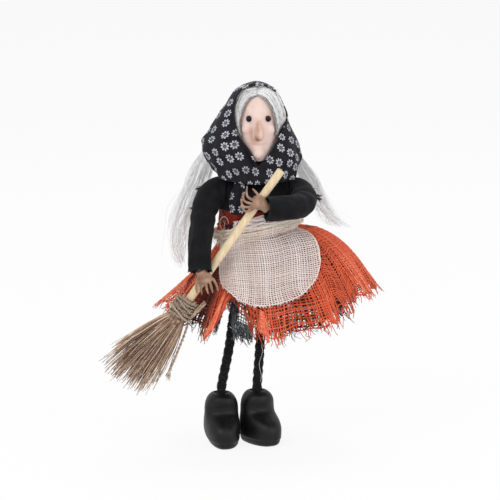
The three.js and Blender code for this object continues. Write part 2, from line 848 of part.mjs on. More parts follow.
const sleeves = {
  right: { path: rightArm, across: point(0, 1, 0), shoulderSwell: 0.3, flat: 0.8 },
  left: { path: leftArm, across: point(0, 0, 1), shoulderSwell: 0.12, flat: 1.06 },
};

function sleeveSkin(side, grown) {
  const { path, across, shoulderSwell, flat } = sleeves[side];
  const wide = (share) => sleeveRadius * (1 + shoulderSwell * (1 - share) ** 3) + grown;
  const deep = (share) => wide(share) * mix(1, flat, share);
  return ringsAlong(new ArmStretch(path, grown), 7, across, deep, wide, 12);
}

function sleeveGeometry(side) {
  const { path, across } = sleeves[side];
  const bore = () => armWireRadius + 2 * gap;
  const inner = ringsAlong(new ArmStretch(path), 14, across, bore, bore, 8);
  const tunnel = solidOf(skin([...inner]));
  const sleeve = solidOf(skin(sleeveSkin(side, 0)))
    .subtract(torsoClear)
    .subtract(handleClear)
    .subtract(tunnel);
  return geometryOf(mainBody(sleeve));
}

addPiece('right_sleeve', sleeveGeometry('right'), 0x1f2023, 0.98);
addPiece('left_sleeve', sleeveGeometry('left'), 0x1f2023, 0.98);

// Hands: a palm and five thin fingers, cast in one piece and grooved for the broom handle.
function fingerSolid(base, bend, tip) {
  const curve = new THREE.CatmullRomCurve3([base, bend, tip]);
  const radius = (share) => fingerRadius * mix(1.15, 0.6, share);
  return solidOf(skin(ringsAlong(curve, 4, point(0, 1, 0), radius, radius, 5)));
}

// Each finger is [base, bend, tip] as offsets from the palm's middle, sideways and up.
function handGeometry(side, palm, knuckles, across, palmHalf, fingers) {
  const cuff = sleeves[side].path[sleeves[side].path.length - 1];
  const curve = new THREE.CatmullRomCurve3([cuff, palm, knuckles]);
  const wide = (share) => mix(0.72, 1, Math.sin(Math.PI * (0.1 + 0.6 * share))) * palmHalf;
  const thick = (share) => mix(3.1, 1.9, share);
  let hand = solidOf(skin(ringsAlong(curve, 5, across, wide, thick, 10)));
  fingers.forEach((joints) => {
    const places = joints.map(([out, up], i) => point(palm.x + out, palm.y - 0.6 * i, palm.z + up));
    hand = hand.add(fingerSolid(...places));
  });
  const wireHole = solidOf(bar(cuff, palm, armWireRadius + 2 * gap, 8));
  const sleeveClear = solidOf(skin(sleeveSkin(side, gap)));
  return geometryOf(hand.subtract(handleClear).subtract(sleeveClear).subtract(wireHole));
}

addPiece(
  'right_hand',
  handGeometry(
    'right',
    rightPalm,
    point(rightPalm.x + 0.4, rightPalm.y, rightPalm.z - 3.4),
    point(1, 0, 0),
    6.6,
    [
      [[-4.8, -1], [-5.8, -6], [-5.2, -10.6]],
      [[-2.2, -2], [-2.6, -7], [-1.9, -11]],
      [[0.6, -2], [1.2, -6.5], [2.4, -10.8]],
      [[3, -2], [4.4, -6], [5.4, -10]],
      [[5, 0], [7.6, -4], [9, -8.6]],
    ],
  ),
  0xb8906f,
  0.55,
);
addPiece(
  'left_hand',
  handGeometry(
    'left',
    leftPalm,
    point(leftPalm.x - 4, leftPalm.y, leftPalm.z - 1),
    point(0, 0, 1),
    6,
    [
      [[-0.5, 4], [-3, 7.4], [-4.6, 9]],
      [[-3.4, 1], [-8, 4], [-8.2, 11]],
      [[-4.2, -1], [-10, 1], [-10.6, 7]],
      [[-4.6, -3], [-10.8, -2.6], [-12.2, 2.6]],
      [[-4, -4.4], [-9.6, -6], [-11.4, -2]],
    ],
  ),
  0xb8906f,
  0.55,
);

// Broom: dowel handle, packed straw, twine winding and the winding's loose end.
addPiece('broom_handle', bar(alongBroom(0), alongBroom(handleLong), handleRadius, 16), 0xe6cfa4, 0.7);

const neckOuter = handleRadius + gap + neckWall;
const windingLong = twineLoops * twinePitch;
const bundleStart = bindingStart + windingLong + 2 * twineRadius;

// Straws start on a sunflower pattern, which every plane across the brush repeats wider, so that
// no two of them cross. Each is a straw root and tip, as corners [side, depth, distance].
function strawCorners(k) {
  const turn = k * Math.PI * (3 - Math.sqrt(5));
  const reach = Math.sqrt((k + 0.5) / strawCount) * 0.94;
  const side = reach * Math.cos(turn);
  const depth = reach * Math.sin(turn);
  const uneven = ((k * 7) % 13) / 13;
  const long = strawLong + strawLongest * uneven - 6 * side ** 2;
  const corners = (x, y, distance) => [0, 1, 2].map((i) => [
    x + strawRadius * Math.cos((tau * i) / 3),
    y + strawRadius * Math.sin((tau * i) / 3),
    distance,
  ]);
  return {
    root: corners(side * bundleRadius, depth * bundleRadius, bundleStart),
    tip: corners(brushShift + side * brushHalfWide, depth * brushHalfDeep, bundleStart + long),
  };
}

// The collar of packed straw is bored for the handle, and the straws grow out of its lower face.
function bristlesGeometry() {
  const rim = 20;
  const circle = (distance, radius) => Array.from({ length: rim }, (_, i) => [
    radius * Math.cos((tau * i) / rim),
    radius * Math.sin((tau * i) / rim),
    distance,
  ]);
  const boreRadius = handleRadius + gap;
  const rows = [
    circle(handleLong + gap, boreRadius),
    circle(bindingStart, boreRadius),
    circle(bindingStart, neckOuter),
    circle(bindingStart + windingLong, neckOuter),
    circle(bundleStart, bundleRadius + strawRadius),
  ];
  const places = (corners) => corners.map(([side, depth, distance]) => alongBroom(distance, side, depth));
  const collar = skin(rows.map(places));
  const kept = Array.from(collar.attributes.position.array);
  kept.splice(kept.length - 3 * 3 * rim);
  const straws = Array.from({ length: strawCount }, (_, k) => strawCorners(k));
  const flat = (corners) => corners.map(([side, depth]) => new THREE.Vector2(side, depth));
  const edge = rows[rows.length - 1];
  const roots = straws.map((straw) => straw.root);
  const faces = THREE.ShapeUtils.triangulateShape(flat(edge), roots.map(flat));
  const corners = places([...edge, ...roots.flat()]);
  faces.forEach((face) => face.forEach((i) => kept.push(...corners[i].toArray())));
  straws.forEach(({ root, tip }) => {
    const [low, high] = [places(root), places(tip)];
    low.forEach((corner, i) => {
      const j = (i + 1) % 3;
      [corner, low[j], high[j], corner, high[j], high[i]].forEach((at) => kept.push(...at.toArray()));
    });
    high.forEach((corner) => kept.push(...corner.toArray()));
  });
  const geometry = new THREE.BufferGeometry();
  geometry.setAttribute('position', new THREE.Float32BufferAttribute(kept, 3));
  return geometry;
}

addPiece('broom_bristles', bristlesGeometry(), 0x8c6d5e, 0.85);

const binding = new Winding(twineLoops, (turns) => {
  const angle = tau * turns;
  const radius = neckOuter + gap + twineRadius;
  const distance = bindingStart + turns * twinePitch;
  return alongBroom(distance, radius * Math.cos(angle), radius * Math.sin(angle));
});
addWinding('broom_binding', binding, twineRadius, 0x8a7866);

// The winding's loose end hangs beside the brush and ends in a small knot.
const tailStart = alongBroom(bindingStart + windingLong, neckOuter + 3 * twineRadius + 2 * gap, 0);
const tailEnd = point(tailStart.x - 12.8, tailStart.y - 1, tailStart.z - tailLong * 0.92);
const tail = new THREE.CatmullRomCurve3([
  tailStart,
  point(mix(tailStart.x, tailEnd.x, 0.22), tailStart.y - 0.4, mix(tailStart.z, tailEnd.z, 0.25)),
  point(mix(tailStart.x, tailEnd.x, 0.55), tailStart.y - 0.7, mix(tailStart.z, tailEnd.z, 0.58)),
  tailEnd,
]);
addPiece('binding_tail', tubeAlong(tail, 14, twineRadius, 8), 0xa09480, 0.95);
const tailKnotRadius = 1.9;
const tailKnot = new THREE.SphereGeometry(tailKnotRadius, 10, 8);
tailKnot.translate(tailEnd.x - 0.6, tailEnd.y, tailEnd.z - tailKnotRadius - gap);
addPiece('tail_knot', tailKnot, 0xa09480, 0.95);

// The bounding box is centred on the origin, with the soles on the floor.
const box = new THREE.Box3().setFromObject(doll);
doll.position.set(-(box.min.x + box.max.x) / 2, -(box.min.y + box.max.y) / 2, -box.min.z);
console.log('moved by', doll.position.toArray().map((value) => value.toFixed(3)).join(' '));

export default doll;
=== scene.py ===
import math
from collections import Counter

import bpy
import numpy as np
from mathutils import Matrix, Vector


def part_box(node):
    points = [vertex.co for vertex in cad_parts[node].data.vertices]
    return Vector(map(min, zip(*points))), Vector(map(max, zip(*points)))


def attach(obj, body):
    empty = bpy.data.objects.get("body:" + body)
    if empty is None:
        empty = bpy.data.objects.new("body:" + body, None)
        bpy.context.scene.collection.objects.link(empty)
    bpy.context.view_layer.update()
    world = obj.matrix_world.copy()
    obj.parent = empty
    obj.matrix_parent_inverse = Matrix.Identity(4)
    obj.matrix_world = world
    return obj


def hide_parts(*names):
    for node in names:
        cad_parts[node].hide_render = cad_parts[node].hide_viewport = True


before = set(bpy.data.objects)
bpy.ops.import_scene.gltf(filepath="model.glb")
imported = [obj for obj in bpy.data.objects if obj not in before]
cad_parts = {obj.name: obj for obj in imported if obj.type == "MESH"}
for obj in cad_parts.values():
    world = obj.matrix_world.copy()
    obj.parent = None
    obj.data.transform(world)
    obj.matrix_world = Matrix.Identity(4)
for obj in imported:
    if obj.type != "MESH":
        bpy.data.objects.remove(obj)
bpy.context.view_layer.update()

bl_info = {
    "name": "Kitchen witch doll",
    "version": (1, 0, 0),
    "blender": (4, 5, 0),
    "location": "View3D > Sidebar > Doll",
    "description": "Builds a cloth kitchen witch that holds a straw broom",
    "category": "Add Mesh",
}

# Places are written in millimetres with the doll's own zero on the floor, as in its drawing.
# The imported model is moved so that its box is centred, and the torso tells by how much.
BODY_X = 12.0
TORSO_LOW, TORSO_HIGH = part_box("torso")
SHIFT = np.array([
    500 * (TORSO_LOW[0] + TORSO_HIGH[0]) - BODY_X,
    500 * (TORSO_LOW[1] + TORSO_HIGH[1]),
    0.0,
])

TORSO_BASE = 125.6
TORSO_TALL = 58.0
TORSO_HALF_WIDE = 24.5
TORSO_HALF_DEEP = 17.0
WAIST_Z = TORSO_BASE + 24.5
SHOULDER_Z = TORSO_BASE + TORSO_TALL - 9
SHOULDER_Y = -3.0
CHIN_Z = TORSO_BASE + TORSO_TALL + 13.4
HEAD_X = 12.5
HEAD_Y = -3.0
HEAD_TALL = 50.0
HEAD_HALF_WIDE = 15.5
HEAD_HALF_DEEP = 16.0
HIP_Z = 122.0
GAP = 0.3
BROOM_LEAN = 35.1


# Shapes: paths, tubes and meshes

def mix(start, end, share):
    return start + (end - start) * share


def steps(count, low=0.0, high=1.0):
    return np.linspace(low, high, count)


def hump(value, middle, width):
    """1 where a value is at the middle, falling off smoothly within the width."""
    return np.exp(-((value - middle) / width) ** 2)


def unit(vectors):
    return vectors / np.maximum(np.linalg.norm(vectors, axis=-1, keepdims=True), 1e-9)


def circle(sides):
    return 2 * np.pi * np.arange(sides) / sides


def tones(random, middle, spread, count=None):
    """Random tones from 0, dark, to 1, light."""
    return np.clip(random.normal(middle, spread, count), 0, 1)


def metres(points):
    """Drawing millimetres to frame metres."""
    return (np.asarray(points, float) + SHIFT) * 0.001


def drawing_points(piece):
    """A piece's vertices in drawing millimetres."""
    flat = np.empty(len(piece.data.vertices) * 3, np.float32)
    piece.data.vertices.foreach_get("co", flat)
    return flat.reshape(-1, 3) * 1000 - SHIFT


def smooth_path(corners, count):
    """Points at even spacing on a centripetal curve through the corners."""
    corners = np.asarray(corners, float)
    knots = np.vstack([2 * corners[0] - corners[1], corners, 2 * corners[-1] - corners[-2]])
    fine = []
    for i in range(1, len(knots) - 2):
        four = knots[i - 1:i + 3]
        gaps = np.maximum(np.linalg.norm(np.diff(four, axis=0), axis=1) ** 0.5, 1e-6)
        time = np.concatenate([[0], np.cumsum(gaps)])
        at = np.linspace(time[1], time[2], 24, endpoint=i == len(knots) - 3)[:, None]

        def between(a, b, low, high):
            return (a * (time[high] - at) + b * (at - time[low])) / (time[high] - time[low])

        firsts = [between(four[k], four[k + 1], k, k + 1) for k in range(3)]
        seconds = [between(firsts[k], firsts[k + 1], k, k + 2) for k in range(2)]
        fine.append(between(*seconds, 1, 2))
    return even_path(np.vstack(fine), count)


def run_along(points):
    """The distance from a path's start to each of its points."""
    return np.concatenate([[0], np.cumsum(np.linalg.norm(np.diff(points, axis=0), axis=1))])


def even_path(points, count):
    """The same line with `count` points at even spacing."""
    points = np.asarray(points, float)
    run = run_along(points)
    at = np.linspace(0, run[-1], count)
    return np.stack([np.interp(at, run, points[:, k]) for k in range(3)], axis=1)


def directions(paths):
    """Unit tangent, side and normal at each point of (strands, points, 3) paths."""
    along = unit(np.gradient(paths, axis=1))
    steady = np.eye(3)[np.argmin(np.abs(along).mean(axis=1), axis=1)][:, None, :]
    side = unit(np.cross(along, np.broadcast_to(steady, along.shape)))
    return along, side, np.cross(along, side)


def tubes(paths, radius, sides, second=None):
    """Closed tubes round (strands, points, 3) paths, as points, faces and the strand of each point."""
    strands, count, _ = paths.shape
    _, side, up = directions(paths)
    radius = np.broadcast_to(radius, (strands, count))[..., None, None]
    second = radius if second is None else np.broadcast_to(second, (strands, count))[..., None, None]
    angle = circle(sides)[None, None, :, None]
    rings = paths[:, :, None] + radius * np.cos(angle) * side[:, :, None]
    rings = rings + second * np.sin(angle) * up[:, :, None]
    start = np.arange(strands)[:, None, None] * count * sides
    row = start + np.arange(count - 1)[None, :, None] * sides
    i = np.arange(sides)[None, None, :]
    j = (i + 1) % sides
    quads = np.stack([row + i, row + j, row + sides + j, row + sides + i], axis=3).reshape(-1, 4)
    ring = start[:, 0] + np.arange(sides)[None]
    faces = quads.tolist() + ring[:, ::-1].tolist() + (ring + (count - 1) * sides).tolist()
    return rings.reshape(-1, 3), faces, np.repeat(np.arange(strands), count * sides)


def make_mesh(name, points, faces):
    """A new smooth object at the origin, from drawing millimetres."""
    mesh = bpy.data.meshes.new(name)
    mesh.from_pydata(metres(points).tolist(), [], faces)
    mesh.update()
    mesh.shade_smooth()
    piece = bpy.data.objects.new(name, mesh)
    bpy.context.collection.objects.link(piece)
    return piece


def set_tone(piece, values):
    """Stores a tone from 0 to 1 at each vertex, which materials read."""
    tone = piece.data.attributes.new("tone", "FLOAT", "POINT")
    tone.data.foreach_set("value", values.astype(np.float32))


class Yarn:
    """Many thin tubes that become one mesh. Each strand, or each of its points, has a tone."""

    def __init__(self):
        self.points = []
        self.faces = []
        self.tones = []
        self.count = 0

    def lay(self, paths, radius, sides=3, tone=0.5, second=None):
        paths = np.asarray(paths, float)
        if paths.ndim == 2:
            paths = paths[None]
        points, faces, strand = tubes(paths, radius, sides, second)
        tone = np.asarray(tone, float)
        if tone.ndim == 2:
            tone = np.repeat(np.broadcast_to(tone, paths.shape[:2]).ravel(), sides)
        else:
            tone = np.broadcast_to(tone, (len(paths),))[strand]
        self.faces += [[corner + self.count for corner in face] for face in faces]
        self.points.append(points)
        self.tones.append(tone)
        self.count += len(points)
        return self

    def finish(self, name, body, slot, surface, *nodes):
        piece = make_mesh(name, np.vstack(self.points), self.faces)
        set_tone(piece, np.concatenate(self.tones))
        return finish_piece(piece, body, slot, surface, *nodes)


def grid_faces(rows, columns, closed):
    """Quads of a grid of points, row after row. A closed grid joins its last column to its first."""
    faces = []
    for row in range(rows - 1):
        for column in range(columns if closed else columns - 1):
            after = (column + 1) % columns
            base = row * columns
            faces.append([base + column, base + after, base + columns + after, base + columns + column])
    return faces


def rings_along(path, across, half_across, half_other, sides):
    """Rings of points round a path, as (rings, sides, 3)."""
    along = unit(np.gradient(path, axis=0))
    across = np.asarray(across, float)
    first = unit(across - along * (along @ across)[:, None])
    second = np.cross(along, first)
    angle = circle(sides)[None, :, None]
    a, b = (np.broadcast_to(half, (len(path),))[:, None, None] for half in (half_across, half_other))
    return path[:, None] + a * np.cos(angle) * first[:, None] + b * np.sin(angle) * second[:, None]


def level_rings(up, wide, deep, x, y, sides):
    """Level rings of points round an upright line, one for each height."""
    angle = circle(sides)[None]
    return np.stack([
        x + wide[:, None] * np.cos(angle), y + deep[:, None] * np.sin(angle),
        np.broadcast_to(up[:, None], (len(up), sides)),
    ], axis=2)


def ring_mesh(name, rings):
    """A closed skin over rings of points, capped at both ends."""
    count, sides, _ = rings.shape
    faces = grid_faces(count, sides, True)
    points = np.vstack([rings.reshape(-1, 3), rings[0].mean(axis=0), rings[-1].mean(axis=0)])
    base = count * sides
    for i in range(sides):
        j = (i + 1) % sides
        faces.append([j, i, base])
        faces.append([base - sides + i, base - sides + j, base + 1])
    return make_mesh(name, points, faces)


def only(*pieces):
    """Selects these objects alone, the first of them active."""
    if bpy.context.object and bpy.context.object.mode != "OBJECT":
        bpy.ops.object.mode_set(mode="OBJECT")
    bpy.ops.object.select_all(action="DESELECT")
    for piece in pieces:
        piece.select_set(True)
        bpy.context.view_layer.objects.active = pieces[0]


def pick(piece, chosen):
    """Opens a piece in edit mode with only the vertices selected whose places pass a test."""
    only(piece)
    bpy.ops.object.mode_set(mode="EDIT")
    bpy.ops.mesh.select_mode(type="VERT")
    bpy.ops.mesh.select_all(action="DESELECT")
    bpy.ops.object.mode_set(mode="OBJECT")
    for vertex in piece.data.vertices:
        vertex.select = bool(chosen(vertex.co))
    bpy.ops.object.mode_set(mode="EDIT")


def modify(piece, kind, **settings):
    """Adds a modifier, sets it and applies it."""
    only(piece)
    modifier = piece.modifiers.new(kind, kind)
    for key, value in settings.items():
        setattr(modifier, key, value)
    bpy.ops.object.modifier_apply(modifier=modifier.name)


def settle(piece):
    """Puts a piece's place into its mesh, merges its doubles and turns its faces outward."""
    only(piece)
    bpy.ops.object.transform_apply(location=True, rotation=True, scale=True)
    bpy.ops.object.mode_set(mode="EDIT")
    bpy.ops.mesh.select_all(action="SELECT")
    bpy.ops.mesh.remove_doubles(threshold=1e-6)
    bpy.ops.mesh.normals_make_consistent(inside=False)
    bpy.ops.object.mode_set(mode="OBJECT")


def join(pieces, name):
    only(*pieces)
    bpy.ops.object.join()
    return rename(bpy.context.object, name)


def melt(parts, name, voxel, passes):
    """Joins parts into one skin whose seams are smoothed over."""
    piece = join(parts, name)
    settle(piece)
    modify(piece, "REMESH", mode="VOXEL", voxel_size=voxel * 0.001)
    modify(piece, "SMOOTH", factor=0.5, iterations=passes)
    smooth_shade(piece, 180)
    return piece


def rename(piece, name):
    piece.name = name
    piece.data.name = name
    return piece


def smooth_shade(piece, degrees):
    only(piece)
    bpy.ops.object.shade_smooth_by_angle(angle=math.radians(degrees))


def finish_piece(piece, body, slot, surface, *nodes):
    """Gives a piece its material, the body that it rides on and the CAD nodes that it stands for."""
    piece.data.materials.clear()
    piece.data.materials.append(surface_named(surface))
    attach(piece, body)
    if nodes:
        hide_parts(*nodes)
    return piece


def plain_surface(node, surface):
    """Gives a CAD node that stays visible its material."""
    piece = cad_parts[node]
    piece.data.materials.clear()
    piece.data.materials.append(surface_named(surface))


# Materials: colours are sRGB hex, and sizes are in millimetres

def linear(colour):
    """An sRGB hex colour as Blender's linear one. A colour of numbers is linear already."""
    if not isinstance(colour, str):
        return (*colour[:3], 1.0)
    channels = [int(colour[i:i + 2], 16) / 255 for i in (1, 3, 5)]
    return (*[c / 12.92 if c <= 0.04045 else ((c + 0.055) / 1.055) ** 2.4 for c in channels], 1.0)


def add_node(tree, kind, inputs=(), out=0, stops=(), **settings):
    """Adds a shader node, sets it up, fills or links its inputs, and gives one of its outputs.
    A colour ramp takes its stops, each a place and a colour."""
    added = tree.nodes.new("ShaderNode" + kind)
    for key, value in settings.items():
        setattr(added, key, value)
    for key, value in inputs.items() if isinstance(inputs, dict) else enumerate(inputs):
        if isinstance(value, bpy.types.NodeSocket):
            tree.links.new(value, added.inputs[key])
        else:
            added.inputs[key].default_value = value
    if stops:
        elements = added.color_ramp.elements
        while len(elements) < len(stops):
            elements.new(1.0)
        for element, (place, colour) in zip(elements, stops):
            element.position = place
            element.color = linear(colour)
    return added.outputs[out]


def new_surface(name, **values):
    """A material with one Principled shader, whose constants are set on its own sockets."""
    surface = bpy.data.materials.new(name)
    surface.use_nodes = True
    shader = surface.node_tree.nodes["Principled BSDF"]
    for key, value in values.items():
        shader.inputs[key.replace("_", " ")].default_value = value
    return surface, surface.node_tree, shader


def paint(shader, colour, height, depth):
    """Gives a shader its colour, and a relief of `depth` millimetres."""
    tree = shader.id_data
    tree.links.new(colour, shader.inputs["Base Color"])
    relief = add_node(tree, "Bump", {"Height": height, "Distance": depth * 0.001})
    tree.links.new(relief, shader.inputs["Normal"])


def object_noise(tree, size, detail=3.0, stretch=(1, 1, 1), turn=(0, 0, 0)):
    """Noise with features of `size` millimetres in object space."""
    place = add_node(tree, "TexCoord", out="Object")
    scale = [1000 * s / size for s in stretch]
    mapped = add_node(tree, "Mapping", {"Vector": place, "Scale": scale, "Rotation": turn})
    return add_node(tree, "TexNoise", {"Vector": mapped, "Scale": 1.0, "Detail": detail}, "Fac")


def uneven_tone(tree, size, amount):
    """A thread's or a cloth's own tone, broken up by noise."""
    tone = add_node(tree, "Attribute", out="Fac", attribute_name="tone")
    noise = add_node(tree, "Math", (object_noise(tree, size, 4), 0.5), operation="SUBTRACT")
    noise = add_node(tree, "Math", (noise, amount), operation="MULTIPLY")
    return add_node(tree, "Math", (tone, noise), operation="ADD")


def mottled(name, stops, grain, relief, depth, **values):
    """A surface whose colour wanders with one noise, and whose relief follows another."""
    surface, tree, shader = new_surface(name, **values)
    colour = add_node(tree, "ValToRGB", [object_noise(tree, *grain)], stops=stops)
    paint(shader, colour, object_noise(tree, *relief), depth)
    return surface


def thread(name, stops, roughness, wear=0.25, fibre=0.35):
    """Spun thread: each strand has its own tone, broken up along its length by loose fibre."""
    surface, tree, shader = new_surface(
        name, Roughness=roughness, Sheen_Weight=0.15, Sheen_Roughness=0.5, IOR=1.47,
        Specular_IOR_Level=0.2)
    colour = add_node(tree, "ValToRGB", [uneven_tone(tree, fibre * 4, wear * 2)], stops=stops)
    paint(shader, colour, object_noise(tree, fibre, 2), 0.08)
    return surface


def weave(tree, sheet, pitch):
    """The height of a plain weave with a thread every `pitch` millimetres, from a sheet's own
    coordinates in millimetres."""
    split = add_node(tree, "SeparateXYZ", [sheet]).node
    waves = []
    for way in ("X", "Y"):
        turn = add_node(tree, "Math", (split.outputs[way], math.pi / pitch), operation="MULTIPLY")
        waves.append(add_node(tree, "Math", [turn], operation="SINE"))
    return add_node(tree, "Math", waves, operation="MULTIPLY")


def cloth(name, dark, light, pitch, sheen=0.3, mottle=6, depth=0.1):
    """Woven cloth: a plain weave with a thread every `pitch` millimetres, and a dull, slightly
    hairy face whose colour wanders."""
    surface, tree, shader = new_surface(
        name, Roughness=0.95, Sheen_Weight=sheen, Sheen_Roughness=0.45, IOR=1.47,
        Specular_IOR_Level=0.2)
    colour = add_node(
        tree, "ValToRGB", [object_noise(tree, mottle, 4)], stops=[(0.32, dark), (0.7, light)])
    sheet = add_node(tree, "UVMap", out="UV", uv_map="cloth")
    hairs = add_node(tree, "Math", (object_noise(tree, 0.5, 2), 1.2), operation="MULTIPLY")
    height = add_node(tree, "Math", (weave(tree, sheet, pitch), hairs), operation="ADD")
    paint(shader, colour, height, depth)
    return surface


def calico(name):
    """Printed cotton calico, plain woven: near black, with small white flowers that the print
    leaves slightly uneven, and a soft dull face."""
    surface, tree, shader = new_surface(
        name, Roughness=0.86, Sheen_Weight=0.08, Sheen_Roughness=0.4, IOR=1.47, Specular_IOR_Level=0.3)
    settings = bpy.context.scene.doll_cloth
    spacing = settings.flower_spacing * 1000
    sheet = add_node(tree, "UVMap", out="UV", uv_map="cloth")
    scaled = add_node(tree, "VectorMath", {0: sheet, "Scale": 1 / spacing}, operation="SCALE")
    cells = add_node(tree, "TexVoronoi", {"Vector": scaled, "Scale": 1.0, "Randomness": 0.36},
                     voronoi_dimensions="2D", feature="F1").node
    away = add_node(tree, "VectorMath", (scaled, cells.outputs["Position"]), operation="SUBTRACT")
    away = add_node(tree, "VectorMath", {0: away, "Scale": spacing}, operation="SCALE")
    split = add_node(tree, "SeparateXYZ", [away]).node
    petals = 8
    made = {
        "across": split.outputs["X"], "up": split.outputs["Y"],
        "radius": add_node(tree, "VectorMath", [away], "Value", operation="LENGTH"),
        "random": add_node(tree, "SeparateColor", [cells.outputs["Color"]], "Red"),
        "noise": object_noise(tree, 1.2, 2),
    }
    # Each petal is an ellipse 2 mm from the flower's centre, 1.8 mm long and 1.1 mm wide. The eye
    # is a ring of six dots. The edge of the print bleeds a little.
    sums = (
        ("angle", "ARCTAN2", "up", "across"), ("spin", "MULTIPLY", "random", 2 * math.pi),
        ("turned", "ADD", "angle", "spin"), ("folded", "PINGPONG", "turned", math.pi / petals),
        ("cosine", "COSINE", "folded"), ("sine", "SINE", "folded"),
        ("along", "MULTIPLY", "radius", "cosine"), ("along", "SUBTRACT", "along", 2.05),
        ("along", "ABSOLUTE", "along"), ("along", "DIVIDE", "along", 0.9),
        ("along", "POWER", "along", 2.0),
        ("aside", "MULTIPLY", "radius", "sine"), ("aside", "DIVIDE", "aside", 0.56),
        ("aside", "POWER", "aside", 2.0), ("petal", "ADD", "along", "aside"),
        ("bled", "SUBTRACT", "noise", 0.5), ("bled", "MULTIPLY", "bled", 0.5),
        ("petal", "ADD", "petal", "bled"), ("petal", "LESS_THAN", "petal", 1.0),
        ("ring", "SUBTRACT", "radius", 0.5), ("ring", "ABSOLUTE", "ring"), ("ring", "ADD", "ring", 0.12),
        ("dots", "MULTIPLY", "turned", 6.0), ("dots", "SINE", "dots"),
        ("dots", "MULTIPLY", "dots", 0.16), ("eye", "SUBTRACT", "ring", "dots"),
        ("eye", "LESS_THAN", "eye", 0.2), ("eye", "MULTIPLY", "eye", 0.75),
        ("print", "MAXIMUM", "petal", "eye"),
    )
    for result, operation, *terms in sums:
        made[result] = add_node(tree, "Math", [made.get(term, term) for term in terms], operation=operation)
    ground = add_node(tree, "ValToRGB", [object_noise(tree, 9, 3)], stops=[
        (place, [c * k for c in settings.scarf_colour]) for place, k in ((0.3, 0.7), (0.7, 1.6))])
    printed = add_node(
        tree, "Mix", {0: made["print"], 6: ground, 7: linear("#c4c5cf")}, 2, data_type="RGBA")
    paint(shader, printed, weave(tree, sheet, 0.55), 0.06)
    return surface


def lacquer(name):
    """Painted hardwood clog: satin black lacquer, with a little orange peel and duller patches."""
    surface = mottled(name, [(0.35, "#0c0c0e"), (0.7, "#161619")], (7, 4), (2.2, 3), 0.05,
                      Roughness=0.42, IOR=1.45, Specular_IOR_Level=0.3)
    tree = surface.node_tree
    rough = add_node(
        tree, "MapRange", {"Value": object_noise(tree, 4, 4), "To Min": 0.38, "To Max": 0.56})
    tree.links.new(rough, tree.nodes["Principled BSDF"].inputs["Roughness"])
    return surface


def wire(name):
    """Annealed steel armature wire: drawn, grey and faintly streaked."""
    surface, tree, shader = new_surface(name, Metallic=1.0, Roughness=0.38)
    colour = add_node(
        tree, "ValToRGB", [object_noise(tree, 2, 3)], stops=[(0.3, "#77787a"), (0.7, "#9c9da0")])
    tree.links.new(colour, shader.inputs["Base Color"])
    return surface


def face_knit(name):
    """Cotton stockinette over stuffing: pale pink, matt, with a fine rib and a slight blush."""
    surface, tree, shader = new_surface(
        name, Roughness=0.9, Sheen_Weight=0.2, Sheen_Roughness=0.5, IOR=1.47,
        Subsurface_Weight=0.12, Subsurface_Scale=0.003, Subsurface_Radius=(1.0, 0.5, 0.4))
    # The tone's darker stops show the face's painted shade and its browner nose.
    colour = add_node(tree, "ValToRGB", [uneven_tone(tree, 9, 0.5)], stops=[
        (0.0, "#84604e"), (0.3, "#bf9480"), (0.6, "#e8c5b8"), (0.88, "#f3dbd2")])
    paint(shader, colour, object_noise(tree, 0.5, 2, (1, 1, 0.35)), 0.07)
    return surface


def mohair(name):
    """Combed mohair: silver strands of uneven grey with a silky lustre."""
    surface, tree, shader = new_surface(
        name, Roughness=0.42, IOR=1.55, Sheen_Weight=0.2, Sheen_Roughness=0.3)
    tone = add_node(tree, "Attribute", out="Fac", attribute_name="tone")
    tree.links.new(add_node(tree, "ValToRGB", [tone], stops=[
        (0.0, "#54473f"), (0.22, "#a7a3a3"), (0.6, bpy.context.scene.doll_hair.colour),
        (1.0, "#fbfbfc")]), shader.inputs["Base Color"])
    return surface


def dowel(name, dark, light, lean):
    """Turned dowel: pale, close straight grain along the stick, sanded and left bare."""
    grain = (1.1, 5, (1, 1, 0.05), (0, math.radians(-lean), 0))
    return mottled(name, [(0.3, dark), (0.62, light)], grain, grain, 0.06, Roughness=0.62, IOR=1.5)


def jute_net(name):
    """Dyed jute net: orange-red, each spun thread a little different, its darker and lighter tones showing
    the painted shade and painted light of the skirt.
    """
    dye = bpy.context.scene.doll_cloth.skirt_colour
    deep_shade, shade, face = ([c * k for c in dye] for k in (0.3, 0.75, 1.0))
    return thread(name, [
        (0.0, "#4f100b"), (0.3, deep_shade), (0.55, shade), (0.8, face), (1.0, "#f79c7a")], 0.88, wear=0.18)


